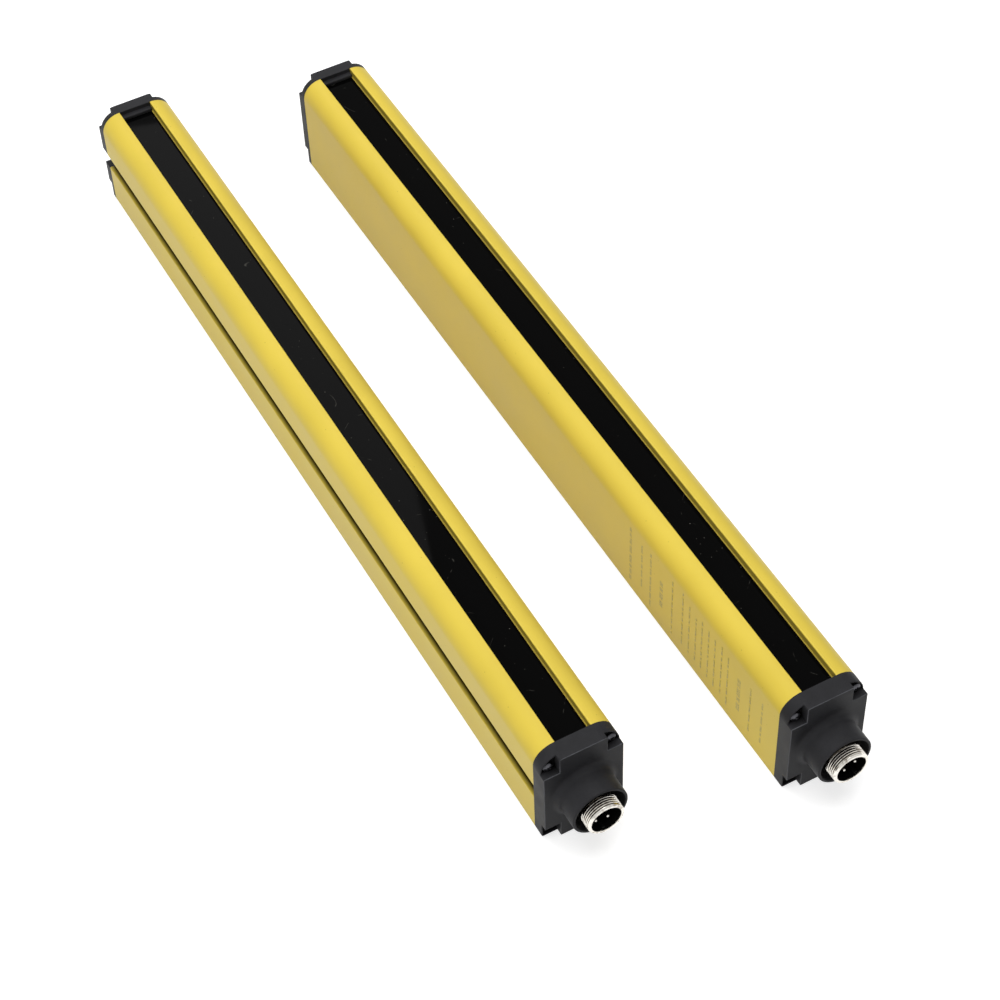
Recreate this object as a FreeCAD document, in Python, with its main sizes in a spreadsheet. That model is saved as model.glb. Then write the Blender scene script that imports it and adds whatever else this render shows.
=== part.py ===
import FreeCAD, Part

import math
import os

import Sketcher

# Safety light curtain: two bars of the same extruded profile, an emitter and a receiver,
# lying side by side on their backs with the front windows up and the connectors to the front.
# Across the pair is X, along the bars is Y (the connectors point to -Y), and up is Z.
# Every bar is drawn in a frame of its own, with X = 0 in its middle plane, Y = 0 at the
# profile's connector end and Z = 0 on the table, and is then set at its place in the pair.

DRIVING_SIZES = {
    # Profile and layout of the pair
    "bar_width": (35.0, "profile across X"),
    "bar_height": (51.0, "profile from its back to its front face"),
    "bar_length": (420.0, "profile along Y, without the caps"),
    "bar_spacing": (93.5, "middle of the emitter to middle of the receiver"),
    "bar_stagger": (27.0, "how far the receiver lies nearer to the front"),
    "shoulder_radius": (9.0, "round edges beside the window"),
    "foot_radius": (1.0, "edges of the back"),
    "side_wall": (1.8, "profile side wall"),
    "floor_wall": (1.8, "profile back wall"),
    "fit_gap": (0.1, "clearance of a loose fit between two pieces"),
    # Window, its slot and its seals
    "window_gap": (15.6, "opening between the two shoulders"),
    "window_depth": (4.0, "window face below the profile's front"),
    "window_sheet": (2.0, "thickness of the window"),
    "window_bite": (1.3, "how far the window reaches into each side groove"),
    "seal_thickness": (0.4, "strip under each edge of the window"),
    "seal_width": (1.6, "width of that strip"),
    "ledge_thickness": (3.1, "ledge that carries the window"),
    "ledge_reach": (0.8, "how far the ledge stands in past the opening"),
    # Mounting groove in one side of the profile
    "slot_gap": (7.6, "mouth of the groove"),
    "slot_height": (24.7, "middle of the groove above the back"),
    "slot_lip": (2.0, "lip thickness"),
    "channel_width": (13.0, "inner width of the groove"),
    "channel_depth": (4.8, "inner depth behind the lips"),
    "channel_wall": (1.6, "wall round the groove"),
    # Screw ports at the corners of the profile
    "port_side": (3.7, "port from the profile's side"),
    "port_front": (6.1, "upper ports from the profile's front"),
    "port_back": (6.1, "lower ports from the profile's back"),
    "port_bore_radius": (1.25, "port bore"),
    "port_boss_radius": (2.7, "boss round a lower port"),
    # Circuit board and its guides
    "board_height": (12.0, "underside of the board above the back"),
    "board_thickness": (1.6, "circuit board"),
    "board_bite": (1.3, "how far the board reaches into its guides"),
    "board_end_gap": (0.5, "board end to profile end"),
    "guide_rib": (1.5, "thickness of a guide rib"),
    "guide_reach": (1.8, "how far a guide rib stands out from the wall"),
    # End caps and gaskets
    "connector_cap_thickness": (8.5, "cap that carries the connector"),
    "far_cap_thickness": (6.0, "cap at the other end"),
    "pocket_depth": (3.0, "corner pockets for the screws"),
    "pocket_width": (7.0, "corner pocket across X"),
    "pocket_height": (8.5, "corner pocket along Z"),
    "pocket_rim": (0.6, "rim round a corner pocket's floor"),
    "gasket_thickness": (0.8, "flat gasket, sunk in the back of its cap"),
    "gasket_inset": (0.8, "rim of the cap outside the gasket"),
    "tongue_length": (2.5, "tongue of the far cap that lies on the window"),
    "tongue_height": (2.0, "thickness of that tongue"),
    "notch_margin": (0.6, "far cap's notch beyond each lip of the groove"),
    # Cap screws
    "screw_radius": (1.2, "shank"),
    "screw_length": (12.0, "shank under the head"),
    "head_radius": (2.2, "screw head"),
    "head_height": (1.7, "screw head"),
    "head_crown_radius": (3.8, "ball that rounds the head"),
    "head_sink": (1.2, "pocket floor below its rim"),
    "cross_width": (0.7, "arm of the cross recess"),
    "cross_length": (2.6, "across the cross recess"),
    "cross_depth": (0.9, "cross recess"),
    "cap_hole_radius": (1.5, "clearance hole for the shank"),
    # Collar round the connector
    "collar_radius": (12.2, "outside"),
    "collar_reach": (12.65, "how far it stands out from the cap"),
    "collar_wall": (1.2, "wall"),
    "collar_fillet": (3.0, "hollow fillet at its root"),
    "collar_rim_radius": (0.5, "rounding of its outer rim"),
    "collar_floor": (2.0, "floor of the collar in front of the cap's face"),
    "web_thickness": (3.0, "wall that the connector is bolted to"),
    "nut_room_radius": (10.6, "round hollow behind that wall"),
    # Connector
    "shell_reach": (4.5, "how far the connector stands out past the collar"),
    "thread_radius": (8.0, "M16 thread, outside"),
    "rim_chamfer": (0.4, "chamfer at the front of the thread"),
    "flange_radius": (10.0, "flange against the wall"),
    "flange_thickness": (2.0, "flange"),
    "tail_radius": (7.0, "threaded tail through the wall"),
    "tail_length": (8.0, "tail behind the flange"),
    "socket_radius": (6.6, "inside of the shell"),
    "socket_depth": (8.0, "rim to the face of the insert"),
    "shoulder_depth": (2.5, "insert's seat behind the flange"),
    "tail_bore_radius": (5.4, "bore behind the seat"),
    "insert_tail": (4.5, "insert behind its seat"),
    "key_width": (1.4, "key inside the shell"),
    "key_height": (1.0, "key inside the shell"),
    "key_setback": (1.0, "rim to the key"),
    "pin_radius": (0.75, "contact pin"),
    "pin_circle": (3.9, "radius of the circle of pins"),
    "pin_setback": (2.65, "rim to the pin tips"),
    "pin_tail": (1.0, "pin behind the shell"),
    "pin_fit": (0.05, "clearance of a pin in the insert"),
    "emitter_turn": (-8.0, "degrees that the emitter's connector is turned"),
    "receiver_turn": (28.0, "degrees that the receiver's connector is turned"),
    "ring_radius": (8.5, "sealing ring under the flange, middle of its cord"),
    "ring_cord_radius": (0.55, "cord of the sealing ring"),
    "nut_across": (17.0, "hexagon nut across its flats"),
    "nut_thickness": (3.0, "hexagon nut"),
    # Wiring
    "wire_radius": (0.55, "lead wire"),
    "wire_bend": (2.5, "bend of a lead wire"),
    "header_start": (7.0, "wire header from the profile's end"),
    "header_length": (6.0, "wire header along Y"),
    "header_width": (9.6, "wire header across X"),
    "header_drop": (7.5, "connector's axis to the top of the wire header"),
    "header_row": (2.5, "distance of its two rows of wires"),
    # Optics
    "first_beam": (30.0, "first beam from the connector end"),
    "last_beam_margin": (30.0, "least distance of the last beam from the far end"),
    "beam_pitch": (20.0, "distance between beams"),
    "carrier_gap": (0.9, "optics carrier and lens strip to the wall round the groove"),
    "carrier_wall": (1.5, "carrier sides and the webs between beams"),
    "carrier_top": (2.0, "carrier top plate"),
    "aperture_radius": (4.5, "hole over each beam"),
    "lens_plate": (1.8, "lens strip plate"),
    "lens_radius": (6.0, "foot of each lens dome"),
    "lens_rise": (2.3, "height of each lens dome"),
    "pad_thickness": (4.0, "foam pad behind the carrier"),
    "lamp_radius": (2.5, "emitting diode"),
    "lamp_height": (6.0, "straight part of a diode"),
    "cell_width": (5.2, "receiving diode across X"),
    "cell_length": (4.4, "receiving diode along Y"),
    "cell_height": (3.0, "receiving diode"),
    "cell_dome_radius": (1.9, "lens on a receiving diode"),
    # Status lamps
    "status_place": (16.5, "status lamps from the connector end"),
    "status_spacing": (4.0, "between status lamps"),
    "status_lamp_size": (2.0, "status lamp across X"),
    "status_lamp_length": (1.2, "status lamp along Y"),
    "status_lamp_height": (0.8, "status lamp"),
    "guide_length": (4.0, "light guide along Y"),
    "guide_post_radius": (1.2, "light guide post"),
    "guide_window_gap": (0.5, "post to the underside of the window"),
    # Parts on the underside of the board
    "processor_place": (60.0, "processor from the connector end"),
    "processor_size": (9.0, "processor side"),
    "processor_height": (1.2, "processor"),
    "driver_width": (5.0, "driver chip across X"),
    "driver_length": (4.0, "driver chip along Y"),
    "driver_height": (1.5, "driver chip"),
    "driver_first": (90.0, "first driver chip from the connector end"),
    "driver_pitch": (80.0, "between driver chips"),
    "capacitor_place": (40.0, "capacitors from the connector end"),
    "capacitor_spacing": (10.0, "between the two capacitors"),
    "capacitor_radius": (3.2, "capacitor"),
    "capacitor_height": (7.0, "capacitor"),
}

doc = FreeCAD.newDocument("light_curtain")
sheet = doc.addObject("Spreadsheet::Sheet", "Sizes")
for row, (alias, (number, meaning)) in enumerate(DRIVING_SIZES.items(), start=1):
    sheet.set(f"A{row}", meaning)
    sheet.set(f"B{row}", str(number))
    sheet.setAlias(f"B{row}", alias)
doc.recompute()


def size(alias):
    """The number in a cell of the sheet, for counts and sketch start positions."""
    return float(getattr(sheet, alias))


def cells(text):
    """An expression in which each word that is a cell's alias is read from the sheet."""
    words = []
    word = ""
    for letter in text + " ":
        if letter.isalnum() or letter in "_.":
            word += letter
            continue
        words.append("Sizes." + word if word in DRIVING_SIZES else word)
        words.append(letter)
        word = ""
    return "".join(words).strip()


# Places that several pieces share, as formulas of the driving sizes
HALF_WIDTH = "(bar_width / 2)"
WINDOW_TOP = "(bar_height - window_depth)"
WINDOW_BOTTOM = f"({WINDOW_TOP} - window_sheet)"
WINDOW_HALF = "(window_gap / 2 + window_bite)"
LEDGE_TOP = f"({WINDOW_BOTTOM} - seal_thickness)"
CEILING = f"({LEDGE_TOP} - ledge_thickness)"
SLOT_LOW = "(slot_height - slot_gap / 2)"
CHANNEL_LOW = "(slot_height - channel_width / 2)"
PORT_X = f"({HALF_WIDTH} - port_side)"
PORT_TOP_Z = "(bar_height - port_front)"
PORT_FOOT_Z = "port_back"
RIB_X = f"({HALF_WIDTH} - side_wall - guide_reach)"
BOARD_HALF = f"({RIB_X} + board_bite)"
BOARD_TOP = "(board_height + board_thickness)"
LENS_TOP = f"({CEILING} - fit_gap)"
LENS_BOTTOM = f"({LENS_TOP} - lens_plate)"
CARRIER_HALF = f"({HALF_WIDTH} - slot_lip - channel_depth - channel_wall - carrier_gap)"
CARRIER_START = "(first_beam - beam_pitch / 2 - carrier_wall / 2)"
CARRIER_END = "(bar_length - pad_thickness)"
TONGUE_HALF = "(window_gap / 2 - fit_gap)"
AXIS_Z = "(bar_height / 2)"
WEB_FRONT = "(0 - connector_cap_thickness - collar_floor)"
WEB_BACK = f"({WEB_FRONT} + web_thickness)"
COLLAR_FRONT = "(0 - connector_cap_thickness - collar_reach)"
SHELL_FRONT = f"({COLLAR_FRONT} - shell_reach)"
FLANGE_FRONT = f"({WEB_FRONT} - flange_thickness)"
SHELL_BACK = f"({WEB_FRONT} + tail_length)"
INSERT_FACE = f"({SHELL_FRONT} + socket_depth)"
INSERT_SEAT = f"({WEB_FRONT} + shoulder_depth)"
PIN_BACK = f"({SHELL_BACK} + pin_tail)"
HEADER_TOP = f"({AXIS_Z} - header_drop)"

# How far a cutting piece stands out past what it cuts, and how near two places are the same one
OVERCUT = "1"
SAME_PLACE = 0.001
# The emitter's place along Y, which puts the pair's middle at the origin
PAIR_Y = f"((bar_stagger - {SHELL_FRONT} - bar_length - far_cap_thickness) / 2)"

ALONG_Y = FreeCAD.Rotation(FreeCAD.Vector(1, 0, 0), -90)
UPRIGHT_SKETCH = FreeCAD.Rotation(FreeCAD.Vector(1, 0, 0), 90)
BEND_DOWN = FreeCAD.Rotation(FreeCAD.Vector(1, 1, 1), 120)

sub_parts = []


def how_many(first, pitch):
    """How many things at a pitch fit between the first and the margin at the far end."""
    room = size("bar_length") - size("last_beam_margin") - size(first)
    return int(room // size(pitch)) + 1


def bind(thing, **formulas):
    """Ties properties of an object to formulas of the driving sizes."""
    for prop, formula in formulas.items():
        thing.setExpression(prop.replace("__", "."), cells(str(formula)))


def put(thing, x, y, z, rotation=None):
    """Sets an object down at a place that is tied to the sheet."""
    thing.Placement = FreeCAD.Placement(FreeCAD.Vector(), rotation or FreeCAD.Rotation())
    bind(thing, Placement__Base__x=x, Placement__Base__y=y, Placement__Base__z=z)
    return thing


def box(low_x, low_y, low_z, size_x, size_y, size_z):
    thing = doc.addObject("Part::Box", "Block")
    bind(thing, Length=size_x, Width=size_y, Height=size_z)
    return put(thing, low_x, low_y, low_z)


def centred_box(half_x, low_y, low_z, size_y, size_z):
    return box(f"0 - {half_x}", low_y, low_z, f"2 * {half_x}", size_y, size_z)


def rod(radius, x, low_y, z, length):
    """A cylinder along Y."""
    thing = doc.addObject("Part::Cylinder", "Rod")
    bind(thing, Radius=radius, Height=length)
    return put(thing, x, low_y, z, ALONG_Y)


def post(radius, x, y, low_z, height):
    """A cylinder along Z."""
    thing = doc.addObject("Part::Cylinder", "Post")
    bind(thing, Radius=radius, Height=height)
    return put(thing, x, y, low_z)


def ball(radius, x, y, z):
    thing = doc.addObject("Part::Sphere", "Ball")
    bind(thing, Radius=radius)
    return put(thing, x, y, z)


def ring(radius, cord_radius, x, y, z):
    """A torus about an axis along Y."""
    thing = doc.addObject("Part::Torus", "Ring")
    bind(thing, Radius1=radius, Radius2=cord_radius)
    return put(thing, x, y, z, ALONG_Y)


def cone(front_radius, back_radius, x, low_y, z, length):
    """A cone along Y."""
    thing = doc.addObject("Part::Cone", "Taper")
    bind(thing, Radius1=front_radius, Radius2=back_radius, Height=length)
    return put(thing, x, low_y, z, ALONG_Y)


def together(things):
    thing = doc.addObject("Part::Compound", "Group")
    thing.Links = things
    return thing


def fuse(things):
    thing = doc.addObject("Part::MultiFuse", "Union")
    thing.Shapes = things
    thing.Refine = True
    return thing


def cut(base, tools):
    thing = doc.addObject("Part::Cut", "Difference")
    thing.Base = base
    thing.Tool = tools[0] if len(tools) == 1 else together(tools)
    thing.Refine = True
    return thing


def common(first, second):
    thing = doc.addObject("Part::Common", "Overlap")
    thing.Base = first
    thing.Tool = second
    thing.Refine = True
    return thing


def outline(margin, low_y, length):
    """The profile's outer outline, a margin in from its edge, drawn upright and extruded along Y."""
    sketch = doc.addObject("Sketcher::SketchObject", "ProfileOutline")
    half = size("bar_width") / 2
    high = size("bar_height")
    foot = size("foot_radius")
    shoulder = size("shoulder_radius")
    corners = [
        (half - foot, foot, foot, -90, 0),
        (half - shoulder, high - shoulder, shoulder, 0, 90),
        (shoulder - half, high - shoulder, shoulder, 90, 180),
        (foot - half, foot, foot, 180, 270),
    ]
    for x, z, radius, start, end in corners:
        circle = Part.Circle(FreeCAD.Vector(x, z, 0), FreeCAD.Vector(0, 0, 1), radius)
        sketch.addGeometry(Part.ArcOfCircle(circle, math.radians(start), math.radians(end)))
    for first in range(4):
        start = sketch.Geometry[first].EndPoint
        end = sketch.Geometry[(first + 1) % 4].StartPoint
        sketch.addGeometry(Part.LineSegment(start, end))
    for arc in range(4):
        sketch.addConstraint(Sketcher.Constraint("Tangent", arc, 2, 4 + arc, 1))
        sketch.addConstraint(Sketcher.Constraint("Tangent", 4 + arc, 2, (arc + 1) % 4, 1))
    for line in (4, 6):
        sketch.addConstraint(Sketcher.Constraint("Vertical", line))
    for line in (5, 7):
        sketch.addConstraint(Sketcher.Constraint("Horizontal", line))
    sketch.addConstraint(Sketcher.Constraint("Equal", 0, 3))
    sketch.addConstraint(Sketcher.Constraint("Equal", 1, 2))
    named = [
        ("foot", Sketcher.Constraint("Radius", 0, foot), f"max(foot_radius - ({margin}); fit_gap)"),
        ("shoulder", Sketcher.Constraint("Radius", 1, shoulder), f"shoulder_radius - ({margin})"),
        ("right", Sketcher.Constraint("DistanceX", -1, 1, 4, 1, half), f"{HALF_WIDTH} - ({margin})"),
        ("left", Sketcher.Constraint("DistanceX", 6, 1, -1, 1, half), f"{HALF_WIDTH} - ({margin})"),
        ("top", Sketcher.Constraint("DistanceY", -1, 1, 5, 1, high), f"bar_height - ({margin})"),
        ("bottom", Sketcher.Constraint("DistanceY", -1, 1, 7, 1, 0.0), f"{margin}"),
    ]
    for name, constraint, formula in named:
        index = sketch.addConstraint(constraint)
        sketch.renameConstraint(index, name)
        sketch.setExpression(f"Constraints.{name}", cells(formula))
    put(sketch, 0, low_y, 0, UPRIGHT_SKETCH)
    solid = doc.addObject("Part::Extrusion", "Profile")
    solid.Base = sketch
    solid.DirMode = "Custom"
    solid.Dir = FreeCAD.Vector(0, 1, 0)
    solid.Solid = True
    bind(solid, LengthFwd=length)
    return solid


class Bar:
    """One of the two bars: its place in the pair, the side of its groove, and its connector's turn."""

    def __init__(self, name, groove_side, x, y, turn):
        self.name = name
        self.groove_side = groove_side
        self.x = x
        self.y = y
        self.turn = turn

    def keep(self, thing, label):
        """Names a finished piece and sets it at the bar's place."""
        thing.Label = f"{self.name}_{label}"
        put(thing, self.x, self.y, 0)
        sub_parts.append(thing)


def inward_box(side, start, depth, low_y, low_z, size_y, size_z):
    """A box that lies from start to start + depth in from one side of the bar (-1 is the -X side)."""
    low_x = f"{start} - {HALF_WIDTH}" if side < 0 else f"{HALF_WIDTH} - ({start}) - ({depth})"
    return box(low_x, low_y, low_z, depth, size_y, size_z)


def turned(things, bar):
    """Pieces drawn about the connector's axis, turned about it and lifted to its height."""
    group = together(things)
    group.Placement = FreeCAD.Placement(FreeCAD.Vector(), FreeCAD.Rotation(FreeCAD.Vector(0, -1, 0), 1))
    bind(group, Placement__Base__z=AXIS_Z, Placement__Rotation__Angle=bar.turn)
    return group


def port_places():
    return [(x, z) for z in (PORT_TOP_Z, PORT_FOOT_Z) for x in (f"-{PORT_X}", PORT_X)]


def housing(bar):
    """Extruded profile: window slot, side groove, board guides and four screw ports."""
    through = f"bar_length + 2 * {OVERCUT}"
    start = f"-{OVERCUT}"
    side = bar.groove_side
    kept = [
        inward_box(
            side, "0", "slot_lip + channel_depth + channel_wall", start,
            f"{CHANNEL_LOW} - channel_wall", through, "channel_width + 2 * channel_wall",
        )
    ]
    for each in (-1, 1):
        kept.append(rod("port_boss_radius", f"{each} * {PORT_X}", start, PORT_FOOT_Z, through))
        for low_z in ("board_height - fit_gap - guide_rib", f"{BOARD_TOP} + fit_gap"):
            kept.append(inward_box(each, "0", "side_wall + guide_reach", start, low_z, through, "guide_rib"))
    hollow_height = f"{CEILING} - floor_wall"
    hollow = centred_box(f"({HALF_WIDTH} - side_wall)", start, "floor_wall", through, hollow_height)
    window_slot = centred_box("(window_gap / 2)", start, WINDOW_TOP, through, f"window_depth + {OVERCUT}")
    sheet_groove = centred_box(
        f"({WINDOW_HALF} + fit_gap)", start, LEDGE_TOP, through, f"{WINDOW_TOP} - {LEDGE_TOP} + fit_gap"
    )
    throat = centred_box(
        "(window_gap / 2 - ledge_reach)", start, f"{CEILING} - {OVERCUT}", through,
        f"ledge_thickness + 2 * {OVERCUT}",
    )
    mouth = inward_box(
        side, f"-{OVERCUT}", f"{OVERCUT} + slot_lip + channel_depth", start, SLOT_LOW, through, "slot_gap"
    )
    channel = inward_box(side, "slot_lip", "channel_depth", start, CHANNEL_LOW, through, "channel_width")
    ports = [rod("port_bore_radius", x, start, z, through) for x, z in port_places()]
    tools = [cut(hollow, kept), window_slot, sheet_groove, throat, mouth, channel] + ports
    bar.keep(cut(outline("0", "0", "bar_length"), tools), "housing")


def window(bar):
    """Flat window that slides into the profile's grooves, on a thin strip under each edge."""
    sheet_box = centred_box(WINDOW_HALF, "0", WINDOW_BOTTOM, "bar_length", "window_sheet")
    bar.keep(together([sheet_box]), "front_window")
    strips = []
    for low_x in (f"{WINDOW_HALF} - fit_gap - seal_width", f"fit_gap - {WINDOW_HALF}"):
        strips.append(box(low_x, "0", LEDGE_TOP, "seal_width", "bar_length", "seal_thickness"))
    bar.keep(together(strips), "window_seals")


def cap_cross(low_y, length):
    """The cross that stands between a cap's corner pockets."""
    wide = centred_box(HALF_WIDTH, low_y, "pocket_height", length, "bar_height - 2 * pocket_height")
    tall = centred_box(f"({HALF_WIDTH} - pocket_width)", low_y, "0", length, "bar_height")
    return fuse([wide, tall])


def cap_blank(low_y, flange_y, thickness):
    """A cap with the profile's outline and a full-depth cross that leaves its four corners low."""
    flange = outline("0", flange_y, f"{thickness} - pocket_depth")
    return [flange, common(outline("0", low_y, thickness), cap_cross(low_y, thickness))]


def screw_cuts(well_low, well_length, hole_low, hole_length):
    """Clearance holes for the four cap screws, and corner wells for their heads inside a thin rim."""
    holes = [rod("cap_hole_radius", x, hole_low, z, hole_length) for x, z in port_places()]
    inside_rim = outline("pocket_rim", well_low, well_length)
    between = cap_cross(f"{well_low} - {OVERCUT}", f"{well_length} + 2 * {OVERCUT}")
    return holes + [cut(inside_rim, [between])]


def connector_cap(bar):
    """Moulded cap with a collar that stands round the connector."""
    thickness = "connector_cap_thickness"
    blank = cap_blank(f"-{thickness}", f"pocket_depth - {thickness}", thickness)
    collar = rod("collar_radius", "0", COLLAR_FRONT, AXIS_Z, f"{WEB_BACK} - {COLLAR_FRONT}")
    solid = fuse(blank + [collar])
    well_length = f"pocket_depth + head_sink + {OVERCUT}"
    tools = screw_cuts(f"-{thickness} - {OVERCUT}", well_length, f"-{thickness}", f"{thickness} + {OVERCUT}")
    opening = "collar_radius - collar_wall"
    opening_depth = f"{WEB_FRONT} - {COLLAR_FRONT} + {OVERCUT}"
    tail_hole = "tail_radius + fit_gap"
    tools += [
        rod(opening, "0", f"{COLLAR_FRONT} - {OVERCUT}", AXIS_Z, opening_depth),
        rod(tail_hole, "0", f"{WEB_FRONT} - {OVERCUT}", AXIS_Z, f"web_thickness + 2 * {OVERCUT}"),
        rod("nut_room_radius", "0", WEB_BACK, AXIS_Z, f"{OVERCUT} - {WEB_BACK}"),
        cut(
            rod("ring_radius + ring_cord_radius + fit_gap", "0", f"{WEB_FRONT} - {OVERCUT}", AXIS_Z,
                f"2 * ring_cord_radius + {OVERCUT}"),
            [rod("ring_radius - ring_cord_radius - fit_gap", "0", f"{WEB_FRONT} - 2 * {OVERCUT}", AXIS_Z,
                 f"2 * ring_cord_radius + 3 * {OVERCUT}")],
        ),
        outline("gasket_inset", "-gasket_thickness", f"gasket_thickness + {OVERCUT}"),
    ]
    rough = cut(solid, tools)
    doc.recompute()
    root = collar_edge(rough, -size(thickness))
    rim = collar_edge(rough, -size(thickness) - size("collar_reach"))
    rounded = doc.addObject("Part::Fillet", "Rounded")
    rounded.Base = rough
    root_radius = size("collar_fillet")
    rim_radius = size("collar_rim_radius")
    rounded.Edges = [(root, root_radius, root_radius), (rim, rim_radius, rim_radius)]
    bar.keep(rounded, "connector_cap")


def collar_edge(thing, y):
    """The number of the edge that runs round the collar's outside at a place along Y."""
    for number, edge in enumerate(thing.Shape.Edges, start=1):
        round_edge = isinstance(edge.Curve, Part.Circle)
        if round_edge and abs(edge.Curve.Radius - size("collar_radius")) < SAME_PLACE:
            if abs(edge.Curve.Center.y - y) < SAME_PLACE:
                return number
    raise ValueError("the collar has no round edge there")


def far_cap(bar):
    """Plain cap with a notch over the groove and a tongue that lies on the window's end."""
    thickness = "far_cap_thickness"
    blank = cap_blank("bar_length", "bar_length", thickness)
    tongue_y = "bar_length - tongue_length"
    tongue = centred_box(TONGUE_HALF, tongue_y, WINDOW_TOP, f"tongue_length + {OVERCUT}", "tongue_height")
    seat = f"bar_length + {thickness} - pocket_depth - head_sink"
    well_length = f"pocket_depth + head_sink + {OVERCUT}"
    tools = screw_cuts(seat, well_length, f"bar_length - {OVERCUT}", f"{thickness} + {OVERCUT}")
    tools.append(groove_notch(bar, "notch_margin", f"bar_length - {OVERCUT}", f"{thickness} + 2 * {OVERCUT}"))
    bed_y = f"bar_length - {OVERCUT}"
    tools.append(far_gasket_outline(bar, "0", bed_y, f"gasket_thickness + {OVERCUT}"))
    body = cut(fuse(blank), tools)
    bar.keep(fuse([body, tongue]), "far_cap")


def groove_notch(bar, margin, low_y, length):
    """The room of the groove's mouth, down to the groove's floor and a margin wider all round."""
    return inward_box(
        bar.groove_side, f"-{OVERCUT}", f"{OVERCUT} + slot_lip + channel_depth + {margin}", low_y,
        f"{SLOT_LOW} - ({margin})", length, f"slot_gap + 2 * ({margin})",
    )


def far_gasket_outline(bar, gap, low_y, length):
    """The far gasket's bed, or with a gap the gasket itself, clear of the notch and of the tongue."""
    margin = f"gasket_inset + {gap}"
    start = f"{low_y} - {OVERCUT}"
    through = f"{length} + 2 * {OVERCUT}"
    notch = groove_notch(bar, f"{margin} + notch_margin", start, through)
    tongue_room = centred_box(
        f"({TONGUE_HALF} + {gap})", start, f"{WINDOW_TOP} - {gap}", through, f"window_depth + {OVERCUT}"
    )
    return cut(outline(margin, low_y, length), [notch, tongue_room])


def gaskets(bar):
    """Flat rubber gaskets between the profile's ends and the caps."""
    near_y = "-gasket_thickness"
    near = outline("gasket_inset + fit_gap", near_y, "gasket_thickness")
    far = far_gasket_outline(bar, "fit_gap", "bar_length", "gasket_thickness")
    blanks = ((near, near_y, "connector_cap_gasket"), (far, "bar_length", "far_cap_gasket"))
    for blank, low_y, label in blanks:
        start = f"{low_y} - {OVERCUT}"
        length = f"gasket_thickness + 2 * {OVERCUT}"
        holes = [rod("cap_hole_radius", x, start, z, length) for x, z in port_places()]
        if blank is near:
            holes.append(rod("nut_room_radius", "0", start, AXIS_Z, length))
        bar.keep(cut(blank, holes), label)


def screw(x, z, seat, outward):
    """Pan-head screw with a cross recess. Its head stands outward (-1 or 1 along Y) from its seat."""
    front = f"{seat} + {outward} * head_height"
    head_low = f"{front} - {OVERCUT}" if outward < 0 else seat
    crown_y = f"{front} - {outward} * head_crown_radius"
    barrel = rod("head_radius", x, head_low, z, f"head_height + {OVERCUT}")
    head = common(barrel, ball("head_crown_radius", x, crown_y, z))
    shank_low = f"{seat} - {OVERCUT}" if outward < 0 else f"{seat} - screw_length"
    shank = rod("screw_radius", x, shank_low, z, f"screw_length + {OVERCUT}")
    recess_low = f"{front} - {OVERCUT}" if outward < 0 else f"{front} - cross_depth"
    arms = []
    for wide, high in (("cross_width", "cross_length"), ("cross_length", "cross_width")):
        low_x = f"{x} - {wide} / 2"
        low_z = f"{z} - {high} / 2"
        arms.append(box(low_x, recess_low, low_z, wide, f"cross_depth + {OVERCUT}", high))
    return cut(fuse([head, shank]), arms)


def cap_screws(bar):
    near = "-(connector_cap_thickness - pocket_depth - head_sink)"
    far = "bar_length + far_cap_thickness - pocket_depth - head_sink"
    for seat, outward, label in ((near, -1, "connector_cap_screws"), (far, 1, "far_cap_screws")):
        bar.keep(together([screw(x, z, seat, outward) for x, z in port_places()]), label)


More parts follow.
